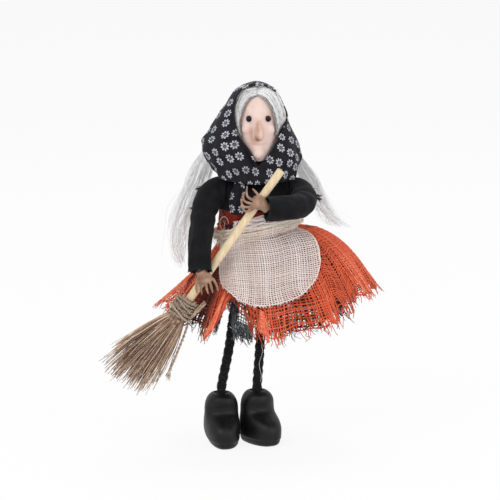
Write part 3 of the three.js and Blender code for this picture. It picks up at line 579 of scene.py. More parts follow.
MATERIALS = {
    "printed cotton calico": calico,
    # Fine jersey, sewn into sleeves: matt, a little hairy, never quite black.
    "black cotton jersey": lambda name: cloth(
        name, "#0d0d0f", "#191a1d", 0.7, sheen=0.06, mottle=8, depth=0.1),
    # Deep red cotton of the bodice, loosely woven and faded unevenly.
    "red cotton scrim": lambda name: cloth(name, "#6e150f", "#a32d1c", 1.6, mottle=7, depth=0.3),
    # The torso's plain stuffing cloth, the same red but closer woven.
    "red cotton sheeting": lambda name: cloth(name, "#5a1510", "#7c1f16", 0.8),
    "cotton stockinette": face_knit,
    "combed mohair": mohair,
    "dyed jute net": jute_net,
    # Undyed cheesecloth: pinkish white, a painted tint of the red that shines through, with soft loose
    # fibre.
    "cotton cheesecloth": lambda name: thread(name, [
        (0.0, "#c3aaa3"), (0.45, "#e6d3cd"), (0.8, "#f6e9e4"), (1.0, "#fff8f5")], 0.92, wear=0.2),
    # Fine net dyed grey and black, with paler frays.
    "grey cotton net": lambda name: thread(name, [
        (0.0, "#161618"), (0.45, "#4e5053"), (0.8, "#8e9192"), (1.0, "#d6d7d8")], 0.9, wear=0.3),
    # Two-ply jute twine: grey-brown, hairy and dull.
    "two-ply jute twine": lambda name: thread(name, [
        (0.0, "#6b5a4c"), (0.4, "#a08c7a"), (0.75, "#d3c3b0"), (1.0, "#f6ecdf")], 0.93, wear=0.3),
    # Brown stalks from dark to tan, each with a faint waxy face.
    "dried broom straw": lambda name: thread(name, [
        (0.0, "#5a4238"), (0.35, "#937361"), (0.7, "#c3a38a"), (1.0, "#ecd6bb")], 0.68, fibre=0.8),
    # The legs' braid: soft cotton that still shines a little on each strand.
    "black braided cord": lambda name: thread(name, [
        (0.0, "#060607"), (0.6, "#111112"), (1.0, "#2c2d2f")], 0.85),
    "ramin dowel": lambda name: dowel(name, "#dec39a", "#efdbb8", BROOM_LEAN),
    "birch dowel": lambda name: dowel(name, "#c6a171", "#ecd3a5", 0),
    # Resin painted flesh tan, with a smooth, faintly mottled eggshell face.
    "painted cast resin": lambda name: mottled(
        name, [(0.3, "#80604c"), (0.52, "#a07d66"), (0.72, "#b8967e")], (5, 4), (1.6, 3), 0.12,
        Roughness=0.48, IOR=1.5, Subsurface_Weight=0.05, Subsurface_Scale=0.002),
    "black lacquered wood": lacquer,
    # Black glass seed bead: fire-polished, so it takes one small sharp highlight.
    "black glass bead": lambda name: new_surface(
        name, Base_Color=linear("#0a0706"), Roughness=0.08, IOR=1.52, Specular_IOR_Level=0.22)[0],
    "annealed steel wire": wire,
}


def surface_named(name):
    """The material of a name, made when a piece first needs it."""
    return bpy.data.materials.get(name) or MATERIALS[name](name)


# Settings that a user would change

def colour_property(name, description, colour):
    return bpy.props.FloatVectorProperty(
        name=name, description=description, subtype="COLOR", size=3, min=0, max=1,
        default=linear(colour)[:3])


def length_property(name, description, millimetres):
    return bpy.props.FloatProperty(
        name=name, description=description, default=millimetres * 0.001, min=0.0001,
        subtype="DISTANCE", unit="LENGTH", precision=4)


class DollClothSettings(bpy.types.PropertyGroup):
    """Sizes and colours of the cloth"""
    net_pitch: length_property("Net pitch", "Space between the skirt's threads at the hem", 2.05)
    net_thread: length_property("Net thread", "Thickness of the skirt's threads", 1.06)
    gauze_pitch: length_property("Gauze pitch", "Space between the apron's threads", 1.7)
    flower_spacing: length_property("Flower spacing", "Mean space between the printed flowers", 8.9)
    skirt_colour: colour_property("Skirt", "Colour of the dyed net", "#e9643f")
    scarf_colour: colour_property("Scarf", "Ground colour of the calico", "#17161c")


class DollHairSettings(bpy.types.PropertyGroup):
    """Amount and colour of the hair"""
    strands: bpy.props.IntProperty(
        name="Strands", description="Strands in each long curtain of hair", default=170, min=50, max=900)
    colour: colour_property("Hair", "Colour of the mohair", "#fafafa")


class DollBroomSettings(bpy.types.PropertyGroup):
    """Make-up of the broom"""
    straws: bpy.props.IntProperty(
        name="Straws", description="Straws in the brush", default=330, min=100, max=900)
    twine: length_property("Twine", "Thickness of the binding twine", 1.7)


# The body's waist and the skirt's bell

# How far the cloth falls from the waist, by degrees round the body. 270 degrees is the front.
HEM_DROPS = [
    (0, 37.5), (18, 45), (45, 56), (80, 60), (115, 61), (150, 56), (180, 51), (205, 57), (226, 61),
    (236, 66), (246, 40), (255, 51), (263, 62), (270, 66), (288, 62), (307, 58), (314, 49), (321, 54),
    (332, 42),
]
LINING_DROPS = [
    (0, 24), (45, 42), (135, 42), (180, 24), (203, 50), (224, 60), (236, 60), (246, 34), (262, 56),
    (270, 62), (292, 60), (318, 47), (338, 30),
]
PETTICOAT_DROPS = [
    (0, 40), (45, 55), (90, 60), (135, 58), (180, 50), (215, 62), (227, 66), (233, 62), (238, 44),
    (242, 50), (246, 67), (256, 71), (260, 58), (264, 60), (276, 67), (290, 66), (302, 60), (330, 46),
]
# How far it would fall if its hem were even: the flare follows these.
FLARE_DROPS = [
    (0, 42), (45, 55), (90, 60), (135, 58), (180, 53), (225, 64), (262, 67), (300, 61), (330, 49),
]
SKIRT_HALF = (72.0, 49.0)
PETTICOAT_HALF = (56.0, 38.0)
BAND_UP = 8.0
BAND_DOWN = 4.0
WAIST_TILT = 0.22
WAIST_HALF_WIDE = TORSO_HALF_WIDE + 1.8
WAIST_HALF_DEEP = TORSO_HALF_DEEP * 1.02 + 1.8
HEM_X = 20.0
FOLD_COUNT = 11


def waist(turn, out, level):
    """Points round the waist, `out` millimetres off the cloth and `level` above the belt's line."""
    cos = np.cos(turn)
    return np.stack([
        BODY_X + (WAIST_HALF_WIDE + out) * cos, (WAIST_HALF_DEEP + out) * np.sin(turn),
        WAIST_Z + level + WAIST_TILT * WAIST_HALF_WIDE * cos], axis=-1)


def around(rows, degrees):
    """A smooth value round the body, from rows of (degrees, value) that start at 0 degrees."""
    at, value = np.array(rows + [(360, rows[0][1])], float).T
    turn = np.mod(degrees, 360)
    after = np.clip(np.searchsorted(at, turn, side="right"), 1, len(at) - 1)
    share = (turn - at[after - 1]) / (at[after] - at[after - 1])
    return mix(value[after - 1], value[after], (1 - np.cos(np.pi * share)) / 2)


def folds(degrees):
    return FOLD_COUNT * np.radians(degrees - 240)


def bell(degrees, fall, half=SKIRT_HALF, extra=0, outset=0, fold_deep=3.0, drops=HEM_DROPS):
    """Points of the skirt's bell. A fall of -1 to 0 runs down the waistband, and 0 to 1 from
    there to the hem."""
    degrees, fall = np.broadcast_arrays(np.asarray(degrees, float), np.asarray(fall, float))
    cos, sin = np.cos(np.radians(degrees)), np.sin(np.radians(degrees))
    below = np.clip(fall * around(drops, degrees) / around(FLARE_DROPS, degrees), 0, 1.2)
    spread = below ** (0.82 - 0.38 * cos)
    out = fold_deep * below ** 2 * np.cos(folds(degrees)) + outset
    top = WAIST_Z + WAIST_TILT * WAIST_HALF_WIDE * cos
    hem = WAIST_Z - around(drops, degrees) - extra
    return np.stack([
        mix(BODY_X, HEM_X, spread) + (mix(WAIST_HALF_WIDE, half[0], spread) + out) * cos,
        (mix(WAIST_HALF_DEEP, half[1], spread) + out) * sin,
        top + np.where(fall < 0, mix(-BAND_DOWN, BAND_UP, -fall), mix(-BAND_DOWN, hem - top, fall)),
    ], axis=-1)


def wander(random, strands, count, size, waves=3):
    """Slow random waves along each strand, of about `size`, as (strands, count)."""
    total = np.zeros((strands, count))
    for _ in range(waves):
        rate = random.uniform(0.5, 3.5, (strands, 1))
        phase = random.uniform(0, 2 * np.pi, (strands, 1))
        total += np.sin(2 * np.pi * rate * steps(count) + phase)
    return size * total / waves


# Skirt, petticoat and apron

def lay_net(yarn, random, half, extra, outset, warps, wefts, radius, shade, spread, fray, top=-1.0,
            crowd=0.45, drops=HEM_DROPS):
    """An open net round the bell: threads down it, threads round it and a frayed hem."""
    def thin(degrees):
        return radius * (1 - 0.5 * hump(np.mod(degrees, 360), 184, 26))

    def tone_at(degrees, fall, strands=1):
        return np.clip(shade(degrees, fall) + random.normal(0, spread, (strands, 1)), 0, 1)

    def place(degrees, fall, out):
        below = np.clip(fall, 0, 1.2)
        # Threads crowd on the outer ridges of the folds, as in pleated cloth.
        turned = degrees - crowd * below * 180 / (np.pi * FOLD_COUNT) * np.sin(folds(degrees))
        wave = np.sin(np.radians(degrees) * 17 + 1.3) + 0.7 * np.sin(np.radians(degrees) * 29 + 4 * fall)
        # The cloth is pressed in where the broom leans on it.
        dent = 2.6 * hump(np.mod(degrees, 360), 212, 15)
        return bell(turned, fall, half, extra, outset + below * (wave - dent) + out, drops=drops)

    start = np.arange(warps)[:, None] * 360 / warps + random.uniform(-0.3, 0.3, (warps, 1))
    rows = np.concatenate([steps(4, top, -0.2), steps(wefts) ** 0.92])
    checks = 1 - 2 * ((np.arange(warps)[:, None] + np.arange(len(rows))) % 2)
    sway = wander(random, warps, len(rows), 1.4, 5) * np.clip(rows, 0, 1)
    down = place(start + sway, rows[None], 0.3 * radius * checks)
    # Threads crowd towards the waist, so there they are drawn thinner and painted darker, a painted shade
    # under the ones across, which stand out.
    slack = np.clip(rows / 0.6, 0, 1)[None]
    yarn.lay(down, mix(0.6, 1, slack) * thin(start) * random.uniform(0.75, 1.2, (warps, 1)), 4,
             tone_at(start, rows[None], warps) - 0.1 * (1 - slack))

    for number, fall in enumerate(rows):
        arcs = [(0.0, 360.0)]
        if fall > 0.9:
            cuts = np.sort(random.uniform(0, 360, 26 if fall < 0.97 else 40))
            arcs = [(low, high) for low, high in zip(cuts[:-1:2], cuts[1::2]) if high - low > 2]
        for low, high in arcs:
            count = max(5, int((high - low) / 360 * warps) + 1)
            at = steps(count, low, high)
            level = fall + wander(random, 1, count, 0.014, 6)[0] * (fall > 0)
            side = 0.3 * radius * (2 * ((np.arange(count) + number) % 2) - 1) \
                + 0.5 * radius * np.clip(1 - fall / 0.6, 0, 1)
            if fall <= 0.9:
                level[-1], side[-1] = level[0], side[0]
            yarn.lay(place(at, level, side), 0.9 * thin(at)[None], 4, tone_at(at[None], level[None]))

    ends = 2 * warps
    fringe = random.integers(0, warps, ends)
    base = start[fringe] + random.uniform(-0.4, 0.4, (ends, 1))
    long = random.uniform(*fray, (ends, 1)) / 62
    share = steps(5)[None]
    bend = random.normal(0, 2.2, (ends, 1)) * share ** 2 + random.normal(0, 0.5, (ends, 5)) * share
    loose = place(base + bend, 0.99 + long * share, random.normal(0, 0.8, (ends, 1)) * share)
    yarn.lay(loose, radius * (0.75 - 0.35 * share), 3, tone_at(base, 1, ends))


def skirt_tone_and_painted_light(degrees, fall):
    """The net's tone with painted light and shade: lighter on the folds' ridges and at the rims as painted
    light, painted shade in the folds' hollows and under the apron, deep red painted shade where the net
    folds under itself at the doll's right front, and darker at 253 degrees."""
    turn = np.mod(degrees, 360)
    # Painted light on the folds' ridges and painted shade in their hollows.
    tone = 0.67 + 0.07 * np.cos(folds(turn)) * np.clip(fall, 0, 1)
    # Painted light: lighter at the rims.
    tone += 0.2 * hump(turn, 184, 24) + 0.12 * hump(np.mod(turn + 40, 360), 40, 24)
    # Painted shade in deep red at the doll's right front, and darker at 253 degrees.
    tone -= 0.55 * hump(turn, 222, 13) + 0.2 * hump(turn, 253, 8)
    level = fall * around(HEM_DROPS, turn) / around(FLARE_DROPS, turn)
    low, high = apron_sides(level)
    side = np.clip(2 * (turn - low) / (high - low) - 1, -1, 1)
    # Painted shade under the apron.
    return tone - 0.42 * np.clip((apron_reach(side) - level) / 0.05, 0, 1) * (np.abs(side) < 0.95)


class DOLL_OT_skirt(bpy.types.Operator):
    """Knots the open jute skirt and its frayed hem"""
    bl_idname = "doll.skirt"
    bl_label = "Skirt"

    def execute(self, context):
        settings = context.scene.doll_cloth
        random = np.random.default_rng(11)
        radius = settings.net_thread * 500
        hem_round = 387
        warps = 2 * int(hem_round / (settings.net_pitch * 1000) / 2)
        yarn = Yarn()
        lay_net(yarn, random, SKIRT_HALF, 0, 0.9, warps, 32, radius, skirt_tone_and_painted_light, 0.09, (1, 9))
        # A lining net, its threads painted dark as painted shade inside the skirt, shows through the holes.
        lining = Yarn()
        lay_net(lining, random, SKIRT_HALF, 0, -1.6, 220, 36, 0.56, lambda degrees, fall: 0.15, 0.08,
                (1, 4), top=-0.2, drops=LINING_DROPS)
        inner = lining.finish("skirt_lining", "body", "orange_net", "dyed jute net")

        # Corners of the net are folded double and hang in front as closer bands, their threads painted
        # brighter as painted light.
        for middle, lean, first, width, out, count in (
                (237, 4, 0.7, 2.5, 1.3, 18), (267, 0, 0.74, 3, 0.9, 15)):
            def band(across, down):
                return middle + lean * (1 - down) + across * width * (0.35 + 0.65 * down)

            share = steps(16)[None]
            across = steps(count, -1, 1)[:, None]
            fall = first + (1.0 - first) * share + random.uniform(-0.04, 0.05, (count, 1)) * share
            down = bell(band(across, share) + wander(random, count, 16, 0.5, 5), fall,
                        outset=1.8 + out - 1.2 * across ** 2)
            yarn.lay(down, radius * random.uniform(0.6, 0.95, (count, 1)), 4,
                     0.88 + random.normal(0, 0.07, count))
            line = steps(9, -1, 1)
            for level in np.arange(first + 0.06, 1.0, 0.045):
                cross = bell(band(line, (level - first) / (1 - first)), level + random.normal(0, 0.004, 9),
                             outset=2.0 + out - 1.2 * line ** 2)
                yarn.lay(cross, radius * 0.7, 4, 0.84 + random.normal(0, 0.06))
        piece = yarn.finish("skirt_net", "body", "orange_net", "dyed jute net", "skirt")
        return {"FINISHED"}


def curl(spin, size, deep, tall):
    """Turns of a curl, each `size` wide, to be added to a path."""
    return np.stack([np.cos(spin), deep * np.sin(spin), tall * np.sin(spin)], axis=-1) * size[..., None]


class DOLL_OT_petticoat(bpy.types.Operator):
    """Knots the fine grey petticoat, with long frays below the skirt"""
    bl_idname = "doll.petticoat"
    bl_label = "Petticoat"

    def execute(self, context):
        random = np.random.default_rng(12)
        yarn = Yarn()
        lay_net(yarn, random, PETTICOAT_HALF, -1, 0.6, 220, 30, 0.36, lambda degrees, fall: 0.3, 0.2,
                (1, 8), top=-0.3, crowd=0.3, drops=PETTICOAT_DROPS)
        share = steps(12)[None]
        curls = 300
        start = np.where(np.arange(curls)[:, None] < 170, random.normal(251, 4.2, (curls, 1)),
                         random.uniform(190, 380, (curls, 1)))
        spin = random.uniform(4, 9, (curls, 1)) * share + random.uniform(0, 6, (curls, 1))
        fall = 0.86 + random.uniform(0.06, 0.21, (curls, 1)) * share
        loose = bell(start + random.normal(0, 2.5, (curls, 1)) * share, fall, PETTICOAT_HALF, -1, 1.0,
                     drops=PETTICOAT_DROPS)
        loose += curl(spin, random.uniform(0.4, 1.8, (curls, 1)) * share, 1, 0.5)
        yarn.lay(loose, 0.24, 3, tones(random, 0.38, 0.3, curls))
        # A crumpled corner of it shows in the notch of the skirt's hem.
        curls = 110
        spin = random.uniform(4, 8, (curls, 1)) * share + random.uniform(0, 6, (curls, 1))
        loose = bell(314 + random.normal(0, 2.2, (curls, 1)) + random.normal(0, 1.5, (curls, 1)) * share,
                     0.9 + random.uniform(0, 0.22, (curls, 1)) * share, outset=-2.5)
        yarn.lay(loose + curl(spin, 1.5 * share, 1, 0.6), 0.26, 3, tones(random, 0.34, 0.35, curls))
        piece = yarn.finish("petticoat_net", "body", "grey_net", "grey cotton net", "petticoat")
        return {"FINISHED"}


APRON_DROP = 0.66


def apron_sides(level):
    """The degrees from which and to which the apron goes. It spans fewer where the skirt is wider."""
    down = np.clip(level / 0.55, 0, 1) ** 0.7
    return mix(213.0, 237.0, down), mix(333.0, 306.0, down)


def apron_place(side, fall, out):
    """A point of the apron; side runs from -1 to 1 across it."""
    degrees = mix(*apron_sides(fall), (side + 1) / 2)
    even = np.clip(fall, 0, 1) * around(FLARE_DROPS, degrees) / around(HEM_DROPS, degrees)
    return bell(degrees, np.where(fall > 0, even, fall), outset=3.6 + out, fold_deep=0.8)


def apron_reach(side):
    """How far down the apron's round hem lies, from side to side."""
    return APRON_DROP * (0.3 + 0.7 * (1 - np.minimum(np.abs(side), 1) ** 2.6) ** (1 / 2.6))


class DOLL_OT_apron(bpy.types.Operator):
    """Weaves the cheesecloth apron, its round hem and the gathers above the belt"""
    bl_idname = "doll.apron"
    bl_label = "Apron"

    def execute(self, context):
        random = np.random.default_rng(13)
        pitch = context.scene.doll_cloth.gauze_pitch * 1000
        warps, wefts = int(78 / pitch), int(62 / pitch)
        radius = 0.25 * pitch
        yarn = Yarn()
        count = 2 * wefts + 1
        side = steps(warps, -0.985, 0.985)[:, None]
        fall = -0.75 + (apron_reach(side) + 0.75) * steps(count)
        drift = 0.045 * np.sin(8 * fall + 3 * side) + 0.007 * np.sin(31 * side + 5 * fall) \
            + wander(random, warps, count, 0.003)
        lift = 0.3 * radius * np.cos(np.pi * (np.arange(count) / 2 + np.arange(warps)[:, None]))
        gather = 0.5 * np.sin(26 * side) * np.clip(1 - 2.2 * np.clip(fall, 0, 1), 0, 1)
        down = apron_place(side + drift * np.clip(fall + 0.1, 0, 1), fall, lift + gather)
        yarn.lay(down, radius * random.uniform(0.8, 1.2, (warps, 1)), 4,
                 np.clip(0.6 + 0.2 * np.sin(11 * side + 1.5 * np.sin(5 * fall))
                         + random.normal(0, 0.08, (warps, 1)), 0, 1))
        levels = np.concatenate([steps(7, -0.72, -0.1), steps(wefts, 0.0, APRON_DROP - 0.006)])
        for number, level in enumerate(levels):
            share = np.clip((max(level, 0) / APRON_DROP - 0.3) / 0.7, 0, 1)
            half = float((1 - share ** 2.6) ** (1 / 2.6)) * 0.99
            line = steps(max(7, int((2 * warps + 1) * half)), -half, half)
            wave = 0.008 * np.sin(7 * line + 2.1 * level) + wander(random, 1, len(line), 0.0022)[0]
            wave *= 1 if level > 0 else 0.3
            lift = -0.3 * radius * np.cos(np.pi * (np.arange(len(line)) / 2 + number))
            gather = 0.5 * np.sin(26 * line) * max(0, 1 - 2.2 * max(level, 0))
            across = apron_place(line, level + wave, lift + gather)
            yarn.lay(across, radius * random.uniform(0.85, 1.15), 4, tones(random, 0.6, 0.08))
        piece = yarn.finish("apron_gauze", "body", "gauze", "cotton cheesecloth", "apron")

        # The edge is a drawn thread with short loose ends.
        edge = Yarn()
        line = steps(150, -1, 1)
        hem = apron_place(line, apron_reach(line) + wander(random, 1, 150, 0.012, 6)[0], 0.2)
        sides = [apron_place(np.full(20, side), steps(20, -0.7, 0.3 * APRON_DROP), 0.2)
                 for side in (-0.995, 0.995)]
        edge.lay(even_path(np.vstack([sides[0], hem, sides[1][::-1]]), 260), 0.34, 6, 0.8)
        ends = 200
        side = random.uniform(-1, 1, (ends, 1))
        share = steps(4)[None]
        fray = apron_place(side + random.normal(0, 0.02, (ends, 1)) * share,
                           apron_reach(side) + random.uniform(0, 0.03, (ends, 1)) * share, 0.4)
        edge.lay(fray, 0.17, 3, 0.8)
        hem_piece = edge.finish("apron_hem", "body", "gauze", "cotton cheesecloth")
        return {"FINISHED"}


# Head and face

# Rows of the head: shares of its height, half width and half depth.
HEAD_ROWS = [
    (0.0, 0.3, 0.58), (0.06, 0.48, 0.74), (0.18, 0.7, 0.86), (0.36, 0.9, 0.96), (0.56, 1, 1),
    (0.74, 0.95, 0.96), (0.87, 0.76, 0.8), (0.96, 0.48, 0.52), (1.0, 0.24, 0.26),
]


EYE_RADIUS = 0.00195


def eased_rows(rows, count):
    """The same rows of shares, smoothly filled in to `count` of them, as three columns."""
    scale = np.array([40, 10, 10])
    return (smooth_path(np.array(rows) * scale, count) / scale).T


def face_y(across):
    """The y of the head's front where it is widest, `across` millimetres to the side."""
    return HEAD_Y - HEAD_HALF_DEEP * math.sqrt(1 - (across / HEAD_HALF_WIDE) ** 2)


def head_front(x, z, wider, most):
    """The y of the cloth head's front at a place in the front view."""
    up, wide, deep = np.array(HEAD_ROWS).T
    wide = np.interp((z - CHIN_Z) / HEAD_TALL, up, wide) * HEAD_HALF_WIDE + wider
    deep = np.interp((z - CHIN_Z) / HEAD_TALL, up, deep) * HEAD_HALF_DEEP
    return HEAD_Y - deep * np.sqrt(1 - np.clip(np.abs(x - HEAD_X) / wide, 0, most) ** 2)


def face_tone_and_painted_shade(x, y, z):
    """Light on the cheeks but for a slight blush, painted shade in the face's hollows, under and beside the
    nose and at the mouth's crease, and a darker nose, partly its browner colour and partly painted shade,
    darkest in a stripe left of its middle.
    """
    up = z - CHIN_Z
    across = x - HEAD_X
    aside = np.abs(across)
    nose = np.clip((face_y(0) - y - 0.9) / 3.4, 0, 1) * (aside < 5) * (up > 13)
    # Painted shade under and beside the nose, at the mouth's crease and in the dimples by the eyes; the
    # blush is the cloth's own colour.
    under_nose = hump(across, -1.6, 3.4) * hump(up, 15.4, 2.6)
    beside = hump(across, -4.9, 1.8) * hump(up, 20.5, 5.0)
    mouth_shade = hump(up, 12.4 + 0.015 * across ** 2, 0.7) * np.exp(-(across / 6.0) ** 4)
    blush = hump(aside, 8, 3.5) * hump(up, 21, 4)
    dimple = hump(aside, 6.5, 2.7) * hump(up, 30.6, 2.9)
    shade = 0.5 * under_nose + 0.42 * beside + 0.22 * mouth_shade + 0.08 * blush + 0.16 * dimple
    # The nose is darker, partly its browner colour and partly painted shade, with a stripe of painted shade
    # left of its middle.
    return 0.82 - (y < HEAD_Y) * shade - (0.24 + 0.26 * hump(across, -0.8, 1.4)) * nose


class DOLL_OT_head(bpy.types.Operator):
    """Stuffs the cloth head and its long drooping nose, sewn as one"""
    bl_idname = "doll.head"
    bl_label = "Head and nose"

    def execute(self, context):
        up, wide, deep = eased_rows(HEAD_ROWS, 26)
        skull = ring_mesh("head_cloth", level_rings(
            CHIN_Z + up * HEAD_TALL, wide * HEAD_HALF_WIDE, deep * HEAD_HALF_DEEP, HEAD_X, HEAD_Y, 40))
        path = smooth_path([
            (-0.1, 1.9, 32.5), (0, -0.1, 29.5), (0.1, -2.4, 25.8), (0.2, -4.9, 21.8), (0.4, -5.3, 19.2),
            (0.3, -3.4, 17.6)], 18) + (HEAD_X, face_y(0), CHIN_Z)
        wide = 1.35 + 2.1 * np.sin(np.pi * (steps(18) * 0.84) ** 1.9) ** 1.2
        parts = [skull, ring_mesh("nose_part", rings_along(path, (1, 0, 0), wide, wide * 1.05, 20))]
        # Padding under the skin: cheeks, brow and a small soft chin.
        for across, sunk, up, radius in (
                (-7.2, -0.4, 22.5, 4.4), (7.2, -0.4, 22.5, 4.4), (0, -0.44, 36.5, 6.5),
                (0.2, -0.46, 6.5, 4.2)):
            only()
            bpy.ops.mesh.primitive_uv_sphere_add(
                segments=20, ring_count=12, radius=radius * 0.001,
                location=metres([HEAD_X + across, face_y(across) + radius + sunk, CHIN_Z + up]))
            parts.append(bpy.context.object)
        head = melt(parts, "head_cloth", 0.7, 9)
        set_tone(head, face_tone_and_painted_shade(*drawing_points(head).T))
        finish_piece(head, "head", "face_cloth", "cotton stockinette", "head", "nose")
        return {"FINISHED"}


class DOLL_OT_eyes(bpy.types.Operator):
    """Sews on the two black bead eyes"""
    bl_idname = "doll.eyes"
    bl_label = "Bead eyes"

    def execute(self, context):
        for side, offset in (("right", -6.5), ("left", 6.5)):
            only()
            centre = metres([HEAD_X + offset, face_y(offset) - 0.9, CHIN_Z + 29.9])
            bpy.ops.mesh.primitive_uv_sphere_add(
                segments=32, ring_count=20, radius=EYE_RADIUS, location=centre)
            eye = rename(bpy.context.object, f"{side}_bead")
            eye.scale = (0.95, 0.85, 1.12)
            settle(eye)
            # A bead is drilled, so its two ends are slightly flat.
            for end in (1, -1):
                pick(eye, lambda place: end * (place.z - centre[2]) > EYE_RADIUS)
                bpy.ops.transform.resize(value=(1, 1, 0), center_override=(
                    centre[0], centre[1], centre[2] + end * 0.002))
                bpy.ops.object.mode_set(mode="OBJECT")
            smooth_shade(eye, 180)
            finish_piece(eye, "head", "bead", "black glass bead", f"{side}_eye_bead")
        return {"FINISHED"}


# Scarf and hair

SCARF_Y = -2.0
# Rows of the scarf: height above the chin, sideways shift, half width and half depth.
SCARF_ROWS = [
    (-18, -1, 25.5, 21), (-10, -1.5, 28, 22.5), (1, -3.5, 32, 23.5), (7, -5.2, 33.3, 24),
    (14, -6.4, 32.2, 23.5), (20, -5.6, 28.4, 22.5), (29, -4.6, 23.9, 21), (39, -2.6, 18.8, 18.8),
    (46, -2, 15.2, 16.6), (50.4, -1.6, 12, 13.6), (53.1, -1.4, 8.5, 9.5),
]
# The height of its hem above the chin, by degrees round the head.
SCARF_HEM = [
    (0, -4), (12, 2), (27, 12), (45, 6), (90, -14), (135, 6), (153, 12), (168, 2), (180, -4),
    (205, -11.2), (270, -14), (335, -12.2),
]
FACE_HALF_WIDE = 17.0
FACE_TALL = 54.6
# The edge of the face's opening, as shares of its half width and its height.
FACE_EDGE = [
    (-0.1, 0), (0.12, 0.05), (0.48, 0.2), (0.82, 0.4), (1.08, 0.6), (0.9, 0.77), (0.57, 0.95),
    (0.3, 1), (-0.35, 1), (-0.78, 0.94), (-1.0, 0.8), (-1.04, 0.62), (-0.87, 0.4), (-0.4, 0.2),
]


def scarf_shape(up):
    """The scarf's sideways shift, half width and half depth at a height above the chin."""
    rows = np.array(SCARF_ROWS, float).T
    return [np.interp(up, rows[0], row) for row in rows[1:]]


def scarf_surface(turn, share):
    """A point of the scarf: turn in degrees round it, share 0 at the hem and 1 at the crown."""
    turn, share = np.broadcast_arrays(turn, share)
    up = mix(around(SCARF_HEM, turn), SCARF_ROWS[-1][0] + 0.3, 1 - (1 - share) ** 1.3)
    shift, wide, deep = scarf_shape(up)
    cap = np.sqrt(np.maximum(1 - np.clip((up - 46) / 7.4, 0, 1) ** 2.2, 0))
    angle = np.radians(turn)
    front = hump(turn, 262, 46)
    slack = np.clip((24 - up) / 24, 0, 1)
    fold = 0.9 * slack * np.sin(angle * 9 + up * 0.16) + 0.45 * slack * np.sin(angle * 17 - up * 0.3)
    drape = 1.6 * front * slack * np.sin(up * 0.62 + 2.4 * np.cos(angle - 4.5))
    wrinkle = 0.4 * (1 - front) * np.clip((46 - up) / 10, 0, 1) * np.sin(0.42 * up + 6 * angle) \
        * np.sin(11 * angle - 0.23 * up)
    out = fold + drape + wrinkle
    return np.stack([
        HEAD_X + shift + (wide * cap + out) * np.cos(angle), SCARF_Y + (deep * cap + out) * np.sin(angle),
        CHIN_Z + up], axis=-1)


def face_outline(count):
    """The closed (x, z) edge of the face's opening."""
    path = smooth_path([(HEAD_X + 0.8 + across * FACE_HALF_WIDE, 0, CHIN_Z - 3.6 + up * FACE_TALL)
                        for across, up in FACE_EDGE + FACE_EDGE[:1]], count + 1)
    return path[:-1, [0, 2]]


def inside_outline(points, outline):
    """Which (x, z) points lie inside a closed outline."""
    x, z = points.T[:, :, None]
    x1, z1 = outline.T[:, None]
    x2, z2 = np.roll(outline, -1, axis=0).T[:, None]
    crossing = ((z1 > z) != (z2 > z)) & (x < (x2 - x1) * (z - z1) / (z2 - z1 + 1e-12) + x1)
    return crossing.sum(axis=1) % 2 == 1


def listed(items, name):
    """One whole number of each item of a mesh."""
    values = np.empty(len(items), np.int32)
    items.foreach_get(name, values)
    return values


def set_cloth(piece, flat):
    """Stores each face corner's place on the flat cloth, in millimetres."""
    layer = piece.data.uv_layers.new(name="cloth")
    layer.data.foreach_set("uv", flat.astype(np.float32).ravel())


def map_round(piece, angle, radius, along, cone=0.0):
    """Gives a piece the cloth coordinates (angle times radius, along), in millimetres. With a
    cone, along is measured from its tip and the cloth is unrolled as a cone's would be."""
    mesh = piece.data
    corner = listed(mesh.loops, "vertex_index")
    start = listed(mesh.polygons, "loop_start")
    total = listed(mesh.polygons, "loop_total")
    turn, along = angle[corner], along[corner]
    low = np.repeat(np.minimum.reduceat(turn, start), total)
    high = np.repeat(np.maximum.reduceat(turn, start), total)
    turn = np.where((high - low > np.pi) & (turn < low + np.pi), turn + 2 * np.pi, turn)
    flat = (turn * radius, along)
    if cone:
        flat = (along * np.sin(cone * turn), -along * np.cos(cone * turn))
    set_cloth(piece, np.stack(flat, axis=1))


def map_body(piece, radius):
    """Lays the cloth's coordinates round the body."""
    x, y, z = drawing_points(piece).T
    map_round(piece, np.arctan2(y, x - BODY_X), radius, z)


def scarf_front(x, z):
    """The y of the scarf's front at a place in the front view."""
    shift, wide, deep = scarf_shape(z - CHIN_Z)
    share = np.clip((x - HEAD_X - shift) / wide, -0.98, 0.98)
    return SCARF_Y - deep * np.sqrt(1 - share ** 2)


def tucked(x, y, z, away):
    """Draws the scarf's front in to the face near its opening."""
    return mix(y, np.maximum(y, head_front(x, z, 0, 0.8) - 2.6), hump(away, 0, 6.5) * 0.85)


